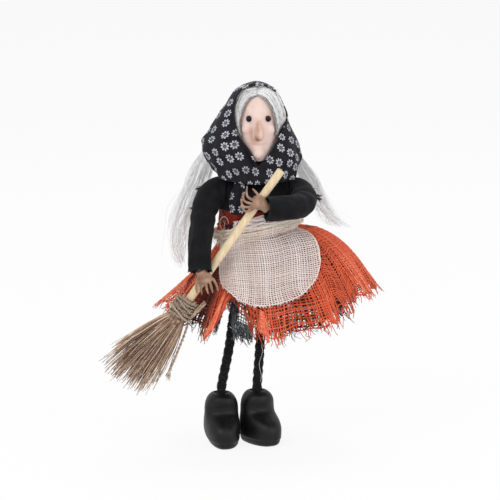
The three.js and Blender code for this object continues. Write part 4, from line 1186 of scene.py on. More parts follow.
class DOLL_OT_scarf(bpy.types.Operator):
    """Cuts and hems the printed headscarf, with its knot's loose end on the chest"""
    bl_idname = "doll.scarf"
    bl_label = "Headscarf"

    def execute(self, context):
        columns, rows = 220, 84
        turn = np.linspace(90, 450, columns, endpoint=False)
        points = scarf_surface(turn[None], steps(rows)[:, None]).reshape(-1, 3)
        outline = face_outline(160)
        cut = inside_outline(points[:, [0, 2]], outline) & (points[:, 1] < SCARF_Y - 2)
        faces = [face for face in grid_faces(rows, columns, True) if not any(cut[i] for i in face)]
        # The cut edge is moved on to the opening's smooth edge.
        uses = Counter(tuple(sorted(edge)) for face in faces for edge in zip(face, face[1:] + face[:1]))
        for i in {i for edge, count in uses.items() if count == 1 for i in edge}:
            if columns <= i < (rows - 1) * columns:
                x, z = outline[np.argmin(np.linalg.norm(outline - points[i, [0, 2]], axis=1))]
                points[i] = x, scarf_front(x, z), z
        near = np.flatnonzero(points[:, 1] < SCARF_Y - 2)
        away = np.array([np.linalg.norm(outline - points[i, [0, 2]], axis=1).min() for i in near])
        points[near, 1] = tucked(*points[near].T, away)
        used, number = np.unique(faces, return_inverse=True)
        shell = make_mesh("headscarf_cloth", points[used], number.reshape(-1, 4).tolist())
        settle(shell)
        modify(shell, "SMOOTH", factor=0.4, iterations=2)
        modify(shell, "SOLIDIFY", thickness=0.0009, offset=-1.0)

        # The hem round the face is turned under and makes a soft roll.
        x, z = np.vstack([outline, outline[:1]]).T
        path = even_path(np.stack([x, tucked(x, scarf_front(x, z), z, 0) + 0.1, z], axis=1), 240)
        roll = make_mesh("hem_roll", *tubes(path[None], 0.75, 10)[:2])
        # Under the chin the cloth is tucked back round the neck.
        up, wide, deep = np.array([(0, 0.9, 0.9), (0.2, 1, 1), (0.75, 0.92, 0.9), (1, 0.7, 0.6)]).T
        tuck = ring_mesh("scarf_tuck", level_rings(
            CHIN_Z - 11.5 + up * 16, wide * 16.5, deep * 13, HEAD_X, 3.0, 40))
        scarf = join([shell, roll, tuck], "headscarf_cloth")
        smooth_shade(scarf, 60)
        x, y, z = drawing_points(scarf).T
        up = z - CHIN_Z
        shift, wide, deep = scarf_shape(up)
        across = x - HEAD_X - shift
        angle = np.arctan2(across, (SCARF_Y - y) * wide / deep)
        # Near the face the cloth is tucked in, and only its front view place still tells its print's.
        level = np.arcsin(np.clip(across / wide, -0.97, 0.97))
        angle = mix(angle, level, np.clip((0.9 - np.abs(across / wide)) / 0.2, 0, 1) * (y < SCARF_Y - 4))
        profile = np.array(SCARF_ROWS, float)[:, [0, 2]]
        slope = run_along(profile)
        map_round(scarf, angle, 1, 22 + slope[-1] - np.interp(up, profile[:, 0], slope), cone=0.4)
        finish_piece(scarf, "head", "calico", "printed cotton calico", "headscarf")

        # The loose end: a folded strip that narrows where it leaves the knot.
        count = 30
        centre = smooth_path([
            (-12.5, -17.8, -12.6), (-13.4, -19.6, -18), (-14.4, -19.8, -26), (-14.0, -20.2, -33.5),
        ], count) + (HEAD_X, 0, CHIN_Z)
        across = steps(25, -1, 1)[None]
        share = steps(count)[:, None]
        half = np.interp(share, [0, 0.25, 0.7, 1], [3.0, 4.2, 5.0, 4.6])
        tilt = np.interp(share, [0, 0.35], [-0.35, 0.3])
        fold = np.cos(across * 6.5 + 1.2 * share)
        tail = centre[:, None] + np.stack([
            half * across, tilt * half * across - 0.55 * fold - 0.4, 0 * half * across], axis=2)
        tail[-3:, :, 2] -= np.array([0.2, 0.6, 1.4])[:, None] * (1 - 0.5 * across ** 2)
        strip = make_mesh("scarf_end", tail.reshape(-1, 3), grid_faces(count, 25, False))
        modify(strip, "SOLIDIFY", thickness=0.0007, offset=0.0)
        smooth_shade(strip, 60)
        places = drawing_points(strip)[listed(strip.data.loops, "vertex_index")]
        set_cloth(strip, places[:, [0, 2]] * (1.1, 1) + (61.3, 4.4))
        finish_piece(strip, "body", "calico", "printed cotton calico", "scarf_tail")
        return {"FINISHED"}


def seen(px, py, depth):
    """The drawing place that the front view shows at a pixel of the frame, at a given depth."""
    down = math.radians(10)
    return (px - 240) * 0.68, depth, ((445 - py) * 0.68 - depth * math.sin(down)) / math.cos(down)


# The outer and the inner edge of each curtain of hair, and of each front lock.
CURTAINS = {
    "right": (
        [(206, 146, 7), (192, 165, 13), (184, 184, 16), (175, 204, 17), (170, 224, 16), (171, 246, 15),
         (177, 258, 14)],
        [(216, 154, 6), (213, 172, 12), (207, 192, 15), (197, 215, 16), (189, 238, 15), (184, 256, 14),
         (182, 268, 13)]),
    "left": (
        [(293, 146, 7), (306, 161, 13), (317, 176, 16), (326, 195, 17), (335, 211, 16), (343, 221, 15),
         (349, 226, 14)],
        [(286, 156, 6), (294, 169, 12), (303, 184, 15), (311, 199, 17), (318, 211, 17), (325, 219, 17),
         (333, 225, 17)]),
}
LOCKS = {
    "right": ([(258, 98.5), (250, 101.5), (245, 108), (241.5, 117), (240, 127), (242, 139)],
              [(257.5, 88), (241, 91), (234, 104), (234, 119), (240, 135)]),
    "left": ([(255.5, 98.5), (263, 101), (268.5, 107), (273, 116), (275.5, 127), (275, 138)],
             [(258, 88), (273, 91), (281, 106), (285, 121), (279, 134)]),
}


class DOLL_OT_hair(bpy.types.Operator):
    """Combs the front locks and the two long wispy curtains of hair"""
    bl_idname = "doll.hair"
    bl_label = "Hair"

    def execute(self, context):
        strands = context.scene.doll_hair.strands
        for seed, (side, edges) in enumerate(CURTAINS.items()):
            random = np.random.default_rng(21 + seed)
            outside, inside = (smooth_path([seen(*place) for place in edge], 18) for edge in edges)
            paths = mix(outside, inside, random.beta(1.25, 1.4, (strands, 1))[..., None])
            at = steps(18)[None]
            for axis, size in ((0, 4.6), (1, 3.2), (2, 3.0 if side == "right" else 1.6)):
                paths[..., axis] += wander(random, strands, 18, size) * at ** 1.4
                paths[..., axis] += np.clip(random.normal(0, 0.9, (strands, 1)), -1.5, 1.5) * at
            stray = random.random(strands) < 0.12
            paths[stray, :, 0] += random.normal(0, 4.0, (stray.sum(), 1)) * at ** 2
            cut = random.uniform(0.62, 1.0, strands)
            cut[random.random(strands) < 0.35] = 1.0
            paths = np.array([even_path(path[:max(6, int(18 * c))], 26) for path, c in zip(paths, cut)])
            # Each strand is a little frizzy towards its tip.
            at = steps(26)[None]
            frizz = random.uniform(9, 24, (strands, 1)) * at + random.uniform(0, 6, (strands, 1))
            size = random.uniform(0.1, 0.75, (strands, 1)) * at
            paths[..., 0] += size * np.sin(frizz)
            paths[..., 1] += size * np.cos(frizz)
            radius = random.uniform(0.07, 0.13, (strands, 1)) * (1 - 0.45 * at ** 2)
            Yarn().lay(paths, radius, 3, tones(random, 0.95, 0.12, strands)).finish(
                f"{side}_hair_curtain", "head", "hair", "combed mohair", f"{side}_long_hair")

        for seed, (side, edges) in enumerate(LOCKS.items()):
            random = np.random.default_rng(31 + seed)
            count = 300
            inside, outside = (smooth_path([seen(*place, depth) for place in edge], 16)
                               for edge, depth in zip(edges, (-17, -15)))
            share = random.uniform(0, 1, (count, 1, 1))
            paths = mix(inside, outside, share)
            paths[..., 0] += wander(random, count, 16, 0.5)
            layer = random.uniform(0.4, 2.3, (count, 1)) * np.sin(np.pi * steps(16, 0.08, 0.95))[None]
            paths[..., 1] = head_front(paths[..., 0], paths[..., 2], 2.2, 0.95) - 0.5 - layer
            ends = random.integers(11, 17, count)
            paths = np.array([even_path(path[:end], 16) for path, end in zip(paths, ends)])
            tone = np.clip(random.normal(0.6, 0.3, count), 0.12, 1)
            # Strands next to the face are painted dark, a painted shadow line between lock and face.
            face_shadow_strands = share[:, 0, 0] < (0.05 if side == "right" else 0.16)
            tone[face_shadow_strands] = random.uniform(0.0, 0.3, face_shadow_strands.sum())
            Yarn().lay(paths, random.uniform(0.16, 0.26, (count, 1)), 3, tone).finish(
                f"{side}_forelock", "head", "hair", "combed mohair", f"{side}_front_lock")
        return {"FINISHED"}


# Torso, bodice, sleeves and hands

# Rows of the torso: shares of its height, half width and half depth.
TORSO_ROWS = [
    (0, 0.74, 0.76), (0.07, 0.92, 0.92), (0.3, 0.99, 1), (0.6, 1, 1.03), (0.8, 0.98, 0.96),
    (0.92, 0.8, 0.76), (1, 0.5, 0.52),
]
RIGHT_ARM = [
    (-9.5, -3, 174.6), (-14.3, -3, 174.6), (-19.5, -7.5, 172.1), (-24, -17, 165.1), (-26, -28, 153.1),
    (-26.4, -36.5, 140.6), (-26.2, -42.5, 127.6),
]
LEFT_ARM = [
    (33.5, -3, 174.6), (38.3, -3, 174.6), (42.3, -9.5, 172.6), (42.6, -20, 169.6), (36, -30, 168.6),
    (26.5, -35.5, 169), (17.8, -38, 169.6),
]
# The palm, the wrist, the way to the knuckles, the way across, the half width, and each finger's
# places beside the palm.
HAND_SHAPES = {
    "right": ((-23.4, -40, 122.6), RIGHT_ARM[-1], (0.4, 0, -3.4), (1, 0, 0), 6.6, [
        [(-4.8, -1), (-5.8, -6), (-5.2, -10.6)], [(-2.2, -2), (-2.6, -7), (-1.9, -11)],
        [(0.6, -2), (1.2, -6.5), (2.4, -10.8)], [(3, -2), (4.4, -6), (5.4, -10)],
        [(5, 0), (7.6, -4), (9, -8.6)],
    ]),
    "left": ((13, -40, 174), LEFT_ARM[-1], (-4, 0, -1), (0, 0, 1), 6.0, [
        [(-0.5, 4), (-3, 7.4), (-4.6, 9)], [(-3.4, 1), (-8, 4), (-8.2, 11)],
        [(-4.2, -1), (-10, 1), (-10.6, 7)], [(-4.6, -3), (-10.8, -2.6), (-12.2, 2.6)],
        [(-4, -4.4), (-9.6, -6), (-11.4, -2)],
    ]),
}


TORSO_SIDES = 72
SLEEVE_SIDES = 64
SLEEVE_RINGS = 90


def torso_rings(count, out, low, high):
    """Level rings round the torso, `out` millimetres off it."""
    up, wide, deep = eased_rows(TORSO_ROWS, 60)
    up = TORSO_BASE + up * TORSO_TALL
    at = steps(count, low, high)
    return level_rings(at, np.interp(at, up, wide) * TORSO_HALF_WIDE + out,
                       np.interp(at, up, deep) * TORSO_HALF_DEEP + out, BODY_X, 0, TORSO_SIDES)


class DOLL_OT_bodice(bpy.types.Operator):
    """Sews the stuffed torso and the faded red bodice over it"""
    bl_idname = "doll.bodice"
    bl_label = "Torso and bodice"

    def execute(self, context):
        top = TORSO_BASE + TORSO_TALL
        torso = ring_mesh("torso_stuffing", torso_rings(30, 0, TORSO_BASE, top))
        map_body(torso, 21)
        smooth_shade(torso, 60)
        finish_piece(torso, "body", "stuffing_cloth", "red cotton sheeting", "torso")

        rings = torso_rings(46, 1.3, 144.8, 175.6)
        up = rings[:, :, 2]
        turn = circle(TORSO_SIDES)
        crease = 0.5 * np.sin(turn * 9 + up * 0.35) + 0.35 * np.sin(turn * 21 - up * 0.22)
        rings[:, :, 0] += crease * np.cos(turn)
        rings[:, :, 1] += crease * np.sin(turn)
        shell = make_mesh("bodice_cloth", rings.reshape(-1, 3), grid_faces(46, TORSO_SIDES, True))
        modify(shell, "SOLIDIFY", thickness=0.0006, offset=0.0)
        modify(shell, "SUBSURF", levels=1)
        map_body(shell, 22)
        smooth_shade(shell, 60)
        finish_piece(shell, "body", "red_cloth", "red cotton scrim", "bodice")

        # Over the shoulders lies a black yoke with two short caps, which the sleeves continue.
        parts = [ring_mesh("yoke_part", torso_rings(22, 2.9, 163.5, top + 0.6))]
        for ends in ((-9.1, 4.0), (33.1, 20.0)):
            path = np.stack([steps(16, *ends), np.full(16, SHOULDER_Y), np.full(16, SHOULDER_Z)], axis=1)
            wide = np.interp(steps(16), [0, 0.08, 1], [9.0, 10.2, 9.4])
            parts.append(ring_mesh("yoke_part", rings_along(path, (0, 1, 0), wide * 0.98, wide, 32)))
        yoke = melt(parts, "yoke_cloth", 0.8, 6)
        map_body(yoke, 22)
        finish_piece(yoke, "body", "black_cloth", "black cotton jersey")

        # A loop of pale thread that has pulled out of the bodice beside the broom's handle.
        turn = steps(30, 0, 2 * np.pi)[:-6]
        loop = np.stack([2.9 * np.cos(turn), -0.4 * np.cos(turn), 4.6 * np.sin(turn)], axis=1)
        Yarn().lay(loop + (-10.6, -19.6, 156.2), 0.2, 5, 0.7).finish(
            "bodice_thread", "body", "twine", "two-ply jute twine")
        return {"FINISHED"}


def sleeve_rings(corners, across, swell, flat, seed):
    """A tube of cloth with soft folds, turned in at the cuff so that it looks open."""
    path = smooth_path(corners, SLEEVE_RINGS)
    share = steps(SLEEVE_RINGS)[:, None]
    wide = 8.3 * (1 + swell * (1 - share[:, 0]) ** 3)
    rings = rings_along(path, across, wide * mix(1, flat, share[:, 0]), wide, SLEEVE_SIDES)
    angle = circle(SLEEVE_SIDES)
    middle = path[:, None]
    fold = 0.5 * np.sin(angle * 3 + share * 9 + seed) + 0.25 * np.sin(angle * 6 - share * 13) * share \
        + 0.35 * hump(share, 0.42, 0.16) * np.sin(share * 44 + 1.6 * np.cos(angle))
    out = rings - middle
    out += unit(out) * (fold - 0.45)[:, :, None]
    out *= (1 - 0.03 * hump(share, 0.965, 0.012))[:, :, None]
    # The cuff turns in and runs back a little way inside, so the arm comes out of a dark opening.
    inside = [middle[-back] + out[-back] * size
              for back, size in ((1, 0.9), (4, 0.86), (9, 0.86), (14, 0.86), (20, 0.1))]
    return np.concatenate([middle + out, inside])


class DOLL_OT_sleeves(bpy.types.Operator):
    """Sews the two black sleeves, with frayed seam ends at the shoulders and cuffs"""
    bl_idname = "doll.sleeves"
    bl_label = "Sleeves"

    def execute(self, context):
        # Loose threads stand off the outer seam, and a few hang from the cuff: the ring that they
        # start from, how many there are, their length and their droop.
        cuff = SLEEVE_RINGS - 2
        for side, outer, corners, across, swell, flat, seed, spikes in (
                ("right", -1, RIGHT_ARM, (0, 1, 0), 0.38, 0.8, 5, [(13, 30, 5.0, 0.1), (34, 6, 3, 0.0)]),
                ("left", 1, LEFT_ARM, (0, 0, 1), 0.3, 1.06, 8, [(13, 16, 3.8, -0.1), (27, 30, 4.4, 0.4)])):
            random = np.random.default_rng(seed)
            rings = sleeve_rings(corners, across, swell, flat, seed)
            skin = ring_mesh(f"{side}_sleeve_cloth", rings)
            # Its cloth is 80 mm long and is laid round a sleeve of 8 mm radius.
            lengths = np.concatenate([steps(SLEEVE_RINGS), steps(5, 1.01, 1.21)]) * 80
            angle = circle(SLEEVE_SIDES)
            turn = np.tile(np.where(angle > np.pi, angle - 2 * np.pi, angle), len(lengths))
            map_round(skin, np.append(turn, [0, 0]), 8.0,
                      np.append(np.repeat(lengths, SLEEVE_SIDES), [0, 80]))
            smooth_shade(skin, 70)
            finish_piece(skin, "arms", "black_cloth", "black cotton jersey", f"{side}_sleeve")
            ends = Yarn()
            for number, count, long, droop in (*spikes, (cuff, 34, 1.6, 0.2)):
                ring = rings[number]
                for _ in range(count):
                    if number == cuff:
                        start = ring[random.integers(0, len(ring))]
                        away = unit((ring - rings[cuff - 8]).mean(axis=0)) + random.normal(0, 0.3, 3)
                    else:
                        start = ring[random.choice(np.argsort(-outer * ring[:, 0])[:4])]
                        away = np.array([outer, -0.2, 0.25 - droop]) + random.normal(0, 0.22, 3)
                    share = steps(6)[:, None]
                    path = start + unit(away) * share * long * random.uniform(0.3, 1) \
                        + np.array([0, 0, -0.7]) * share ** 2 + random.normal(0, 0.12, (6, 3)) * share
                    ends.lay(path + (ring.mean(axis=0) - start) * 0.02, 0.26 - 0.14 * share[:, 0], 3,
                             random.uniform(0.1, 0.8))
            ends.finish(f"{side}_sleeve_threads", "arms", "black_cloth", "black braided cord")
        return {"FINISHED"}


class DOLL_OT_hands(bpy.types.Operator):
    """Casts the two bony hands, each palm and its five fingers in one piece"""
    bl_idname = "doll.hands"
    bl_label = "Hands"

    def execute(self, context):
        for side, (palm, wrist, knuckles, across, half, fingers) in HAND_SHAPES.items():
            palm, wrist = np.array(palm, float), np.array(wrist, float)
            toward = unit(palm - wrist)
            path = even_path([wrist - toward * 1.2, wrist + toward * 2, palm, palm + knuckles], 22)
            rows = [0, 0.25, 0.6, 0.85, 1]
            wide = np.interp(steps(22), rows, [3.3, 3.5, half * 0.78, half * 0.82, half * 0.6])
            thick = np.interp(steps(22), rows, [2.7, 2.7, 2.5, 2.1, 1.3])
            parts = [ring_mesh(f"{side}_palm", rings_along(path, across, wide, thick, 28))]
            for i, corners in enumerate(fingers):
                points = [palm + (sideways, -0.24 * i, up) for sideways, up in corners]
                line = smooth_path([mix(palm, points[0], 0.45), *points], 26)
                at = steps(26)
                knobs = 0.1 * hump(at, 0.34, 0.07) + 0.1 * hump(at, 0.68, 0.06)
                slim, flat = (np.interp(at, [0, 0.5, 0.94, 1], [1.0, 0.86, 0.6, tip]) + knobs
                              for tip in (0.34, 0.32))
                parts.append(ring_mesh(f"{side}_finger", rings_along(line, (0, 1, 0), slim, flat, 14)))
            hand = melt(parts, f"{side}_hand_cast", 0.26, 2)
            finish_piece(hand, "arms", "hand_resin", "painted cast resin", f"{side}_hand")
        plain_surface("arm_wire", "annealed steel wire")
        return {"FINISHED"}


# Shoes and legs

# Rows of a shoe: shares of its height, half width, back and front.
SHOE_ROWS = [
    (0, 0.72, 0.78, 0.78), (0.035, 0.84, 0.92, 0.89), (0.14, 0.97, 1, 0.98), (0.32, 1, 1, 1),
    (0.44, 0.98, 1, 0.92), (0.52, 0.97, 0.98, 0.72), (0.575, 0.94, 0.95, 0.48), (0.625, 0.93, 0.94, 0.41),
    (0.7, 0.94, 0.95, 0.45), (0.82, 0.89, 0.92, 0.45), (0.92, 0.77, 0.86, 0.42), (0.97, 0.62, 0.76, 0.34),
    (1, 0.5, 0.58, 0.26),
]
SHOE_LEVELS = (
    0.0, 0.012, 0.035, 0.07, 0.115, 0.128, 0.142, 0.18, 0.25, 0.33, 0.42, 0.5, 0.58, 0.65, 0.71, 0.76,
    0.82, 0.88, 0.93, 0.965, 0.988, 1.0,
)
SHOE_TALL = 36.0
SHOE_HALF_WIDE = 12.2
SHOE_BACK = 10.4
SHOE_FRONT = 25.0
# Each ankle's place, how far its toe turns out in degrees, and its hip.
ANKLES = {"right": (-12.9, -1.0, 8.0, 2.0), "left": (11.7, 6.0, 28.0, 17.0)}


def leg_path(side, count):
    x, y, _, hip = ANKLES[side]
    return smooth_path([
        (x, y, 30), (x, y, 38), (mix(x, hip, 0.36), mix(y, 0, 0.4), 66.8),
        (mix(x, hip, 0.62), mix(y, 0, 0.8), 94.4), (hip, 0, 118.7), (hip, 0, HIP_Z),
    ], count)


def shoe_place(place, flatter):
    """Moves a point of the round column, in millimetres, to its place in the clog."""
    up, wide, back, front = np.array(SHOE_ROWS, float).T
    level = np.clip(place.z / SHOE_TALL, 0, 1)
    wide, back, front = (np.interp(level, up, row) for row in (wide, back, front))
    groove = 1 - 0.035 * hump(level, 0.124, 0.012)
    welt = 1 + 0.022 * hump(level, 0.07, 0.05)
    squared = 1 + 0.06 * abs(math.sin(2 * math.atan2(place.y, place.x)))
    across = SHOE_HALF_WIDE * wide * place.x * groove * welt * squared
    if flatter and across < 0 and level < 0.4:
        across *= 1 - 0.3 * (1 - level / 0.4) ** 2
    along = (SHOE_FRONT * front if place.y < 0 else SHOE_BACK * back) * place.y * groove * welt * squared
    # The instep dips between the toe and the collar, as a clog's does.
    if place.y < -0.2 and 0.5 < level < 0.95:
        along += 1.6 * hump(level, 0.72, 0.1) * min(1, (-place.y - 0.2) * 2)
    return across, along


class DOLL_OT_shoes(bpy.types.Operator):
    """Carves the two lacquered clogs, with a sole line and a soft rounded collar"""
    bl_idname = "doll.shoes"
    bl_label = "Shoes"

    def execute(self, context):
        for side, (x, y, toe_out, _) in ANKLES.items():
            # A flat disc at the sole is drawn up in steps, and each new rim is set to its row.
            only()
            bpy.ops.mesh.primitive_circle_add(
                vertices=56, radius=0.001, fill_type="NGON", location=(0, 0, 0))
            shoe = rename(bpy.context.object, f"{side}_shoe_lacquered")
            bpy.ops.object.mode_set(mode="EDIT")
            bpy.ops.mesh.select_all(action="SELECT")
            for low, high in zip(SHOE_LEVELS[:-1], SHOE_LEVELS[1:]):
                bpy.ops.mesh.extrude_region_move(
                    TRANSFORM_OT_translate={"value": (0, 0, (high - low) * SHOE_TALL * 0.001)})
            # The top is set in twice, so that the leg comes up out of a shallow well.
            bpy.ops.mesh.inset(thickness=0.00022, depth=0)
            bpy.ops.mesh.inset(thickness=0.0001, depth=-0.0014)
            bpy.ops.object.mode_set(mode="OBJECT")
            turn = math.radians(toe_out)
            cos, sin = math.cos(turn), math.sin(turn)
            for vertex in shoe.data.vertices:
                across, along = shoe_place(vertex.co * 1000, side == "right")
                vertex.co = metres([
                    x + across * cos - along * sin, y + across * sin + along * cos, vertex.co.z * 1000])
            settle(shoe)
            modify(shoe, "SUBSURF", levels=2)
            smooth_shade(shoe, 180)
            finish_piece(shoe, f"{side}_leg", "shoe_black", "black lacquered wood", f"{side}_shoe")
        return {"FINISHED"}


def frames(path):
    """Unit tangent, side and normal at each point of one path."""
    return [part[0] for part in directions(path[None])]


def round_off(turn, first, second):
    """The direction off a path at a turn round it, from its side and its normal."""
    turn = np.asarray(turn)[..., None]
    return np.cos(turn) * first + np.sin(turn) * second


class DOLL_OT_legs(bpy.types.Operator):
    """Braids the two black leg cords round their wires, with a loose thread beside one"""
    bl_idname = "doll.legs"
    bl_label = "Legs"

    def execute(self, context):
        for seed, side in enumerate(ANKLES):
            random = np.random.default_rng(51 + seed)
            count = 190
            path = leg_path(side, count)
            path = even_path(path[path[:, 2] > 32.5], count)
            along, first, second = frames(path)
            at = steps(count)
            braid = Yarn()
            # Eight strands, four each way, pass over and under one another.
            for strand in range(8):
                way = 1 if strand % 2 == 0 else -1
                turn = way * at * 2 * np.pi * 7.5 + strand * np.pi / 4
                over = way * np.sin(at * 2 * np.pi * 30 + strand * np.pi / 2)
                off = round_off(turn, first, second) * (2.5 + 0.32 * over)[:, None]
                for ply in (-0.55, 0.55):
                    braid.lay(path + off + unit(np.cross(along, off)) * ply, 0.72, 5,
                              tones(random, 0.5, 0.16), second=0.6)
            braid.lay(path, 2.1, 8, 0.15)
            fuzz = 150
            start = random.integers(2, count - 8, fuzz)
            for i, turn in zip(start, random.uniform(0, 2 * np.pi, fuzz)):
                share = steps(4)[:, None]
                off = round_off(turn, first[i], second[i]) * (2.9 + share * random.uniform(0.5, 1.3))
                braid.lay(path[i] + off + along[i] * share * random.uniform(-1.5, 1.5), 0.07, 3, 0.9)
            braid.finish(
                f"{side}_leg_braid", f"{side}_leg", "leg_cord", "black braided cord", f"{side}_leg_cord")
            plain_surface(f"{side}_leg_wire", "annealed steel wire")
        # One pale thread from the petticoat hangs down the left leg.
        path = leg_path("left", 60)
        path = path[(path[:, 2] > 41) & (path[:, 2] < 70)][::-1]
        share = steps(22)
        hang = np.stack([np.interp(share, steps(len(path)), axis) for axis in path.T], axis=1)
        hang += (0.8, -3.8, 0)
        hang[:, 0] += 0.9 * np.sin(9 * share) + 0.8 * share
        Yarn().lay(hang, 0.2, 4, 0.95).finish("loose_thread", "left_leg", "leg_cord", "grey cotton net")
        return {"FINISHED"}


# Broom and belt

BROOM_TOP = (27.5, -35.0, 194.5)
HANDLE_RADIUS = 2.75
HANDLE_LONG = 120.0
BINDING_START = 107.0
TWINE_RADIUS = 0.85
TWINE_PITCH = 2.3
TWINE_LOOPS = 6
WINDING_LONG = TWINE_LOOPS * TWINE_PITCH
NECK_OUTER = HANDLE_RADIUS + GAP + 2.6
BUNDLE_START = BINDING_START + WINDING_LONG + 2 * TWINE_RADIUS
BUNDLE_RADIUS = 6.8
BRUSH_HALF_WIDE = 21.0
BRUSH_HALF_DEEP = 8.5
BRUSH_SHIFT = -5.0
STRAW_LONG = 51.0
TAIL_LONG = 35.5
TAIL_KNOT_RADIUS = 1.9


def along_broom(distance, side=0.0, depth=0.0):
    """Points of the broom: distance down from its top, side across the brush, depth to the viewer."""
    sin, cos = math.sin(math.radians(BROOM_LEAN)), math.cos(math.radians(BROOM_LEAN))
    distance, side, depth = np.broadcast_arrays(distance, side, depth)
    return BROOM_TOP + np.stack([
        cos * side - sin * distance, -depth, -cos * distance - sin * side], axis=-1)


def loose_fibre(yarn, path, radius, random, tone, hairs):
    """Fine fibre that stands off a twine."""
    along, first, second = frames(path)
    for _ in range(hairs):
        i = random.integers(0, len(path))
        out = round_off(random.uniform(0, 2 * np.pi), first[i], second[i])
        share = steps(4)[:, None]
        bend = random.normal(0, 0.5, 3)
        line = path[i] + out * (radius * 0.8 + share * random.uniform(0.5, 1.6)) \
            + (along[i] * random.uniform(-1.4, 1.4) + bend * share) * share
        yarn.lay(line, 0.07, 3, tone)


def two_ply(yarn, path, radius, random, tone, hairs=0):
    """Lays two plies twisted round each other along a path, with loose fibre that stands off."""
    _, first, second = frames(path)
    for start in (0.0, np.pi):
        turn = start + run_along(path) * 2 * np.pi / (radius * 7)
        yarn.lay(path + 0.5 * radius * round_off(turn, first, second), radius * 0.56, 6,
                 tones(random, tone, 0.06))
    loose_fibre(yarn, path, radius, random, min(tone + 0.25, 1), hairs)


TAIL_START = along_broom(BINDING_START + WINDING_LONG, NECK_OUTER + 3 * TWINE_RADIUS + 2 * GAP)
TAIL_WAY = np.array([-12.8, -1.0, -TAIL_LONG * 0.92])
TAIL_END = TAIL_START + TAIL_WAY
TAIL_SHARES = ((0, 0, 0), (0.22, 0.4, 0.25), (0.55, 0.7, 0.58), (1, 1, 1))
TAIL_PATH = smooth_path([TAIL_START + TAIL_WAY * share for share in TAIL_SHARES], 60)


class DOLL_OT_twine_tail(bpy.types.Operator):
    """Lets the binding's loose end hang beside the brush, down to its small knot"""
    bl_idname = "doll.twine_tail"
    bl_label = "Binding's loose end"

    def execute(self, context):
        random = np.random.default_rng(61)
        radius = context.scene.doll_broom.twine * 500
        jute = ("broom", "twine", "two-ply jute twine")
        cord = Yarn()
        two_ply(cord, TAIL_PATH, radius, random, 0.56)
        piece = cord.finish("twine_tail", *jute, "binding_tail")
        fluff = Yarn()
        loose_fibre(fluff, TAIL_PATH, radius, random, 0.8, 60)
        fluff_piece = fluff.finish("twine_tail_fibre", *jute)

        # The knot is an overhand one, drawn tight, with a short frayed tip under it.
        middle = TAIL_END + (-0.6, 0, -TAIL_KNOT_RADIUS - GAP)
        turn = steps(60, 0, 4 * np.pi)
        knot = Yarn()
        two_ply(knot, middle + np.stack([
            1.05 * np.cos(turn) * (1 + 0.2 * np.sin(turn * 0.5)), np.sin(turn),
            0.95 * np.cos(turn * 0.5 + 0.4)], axis=1), radius * 0.95, random, 0.6, 14)
        for _ in range(16):
            away = np.array([random.normal(0, 0.35), random.normal(0, 0.3), -1.0])
            knot.lay(middle + away * steps(5)[:, None] * random.uniform(2.2, 4.6), 0.1, 3, 0.8)
        knot_piece = knot.finish("twine_tail_knot", *jute, "tail_knot")
        return {"FINISHED"}


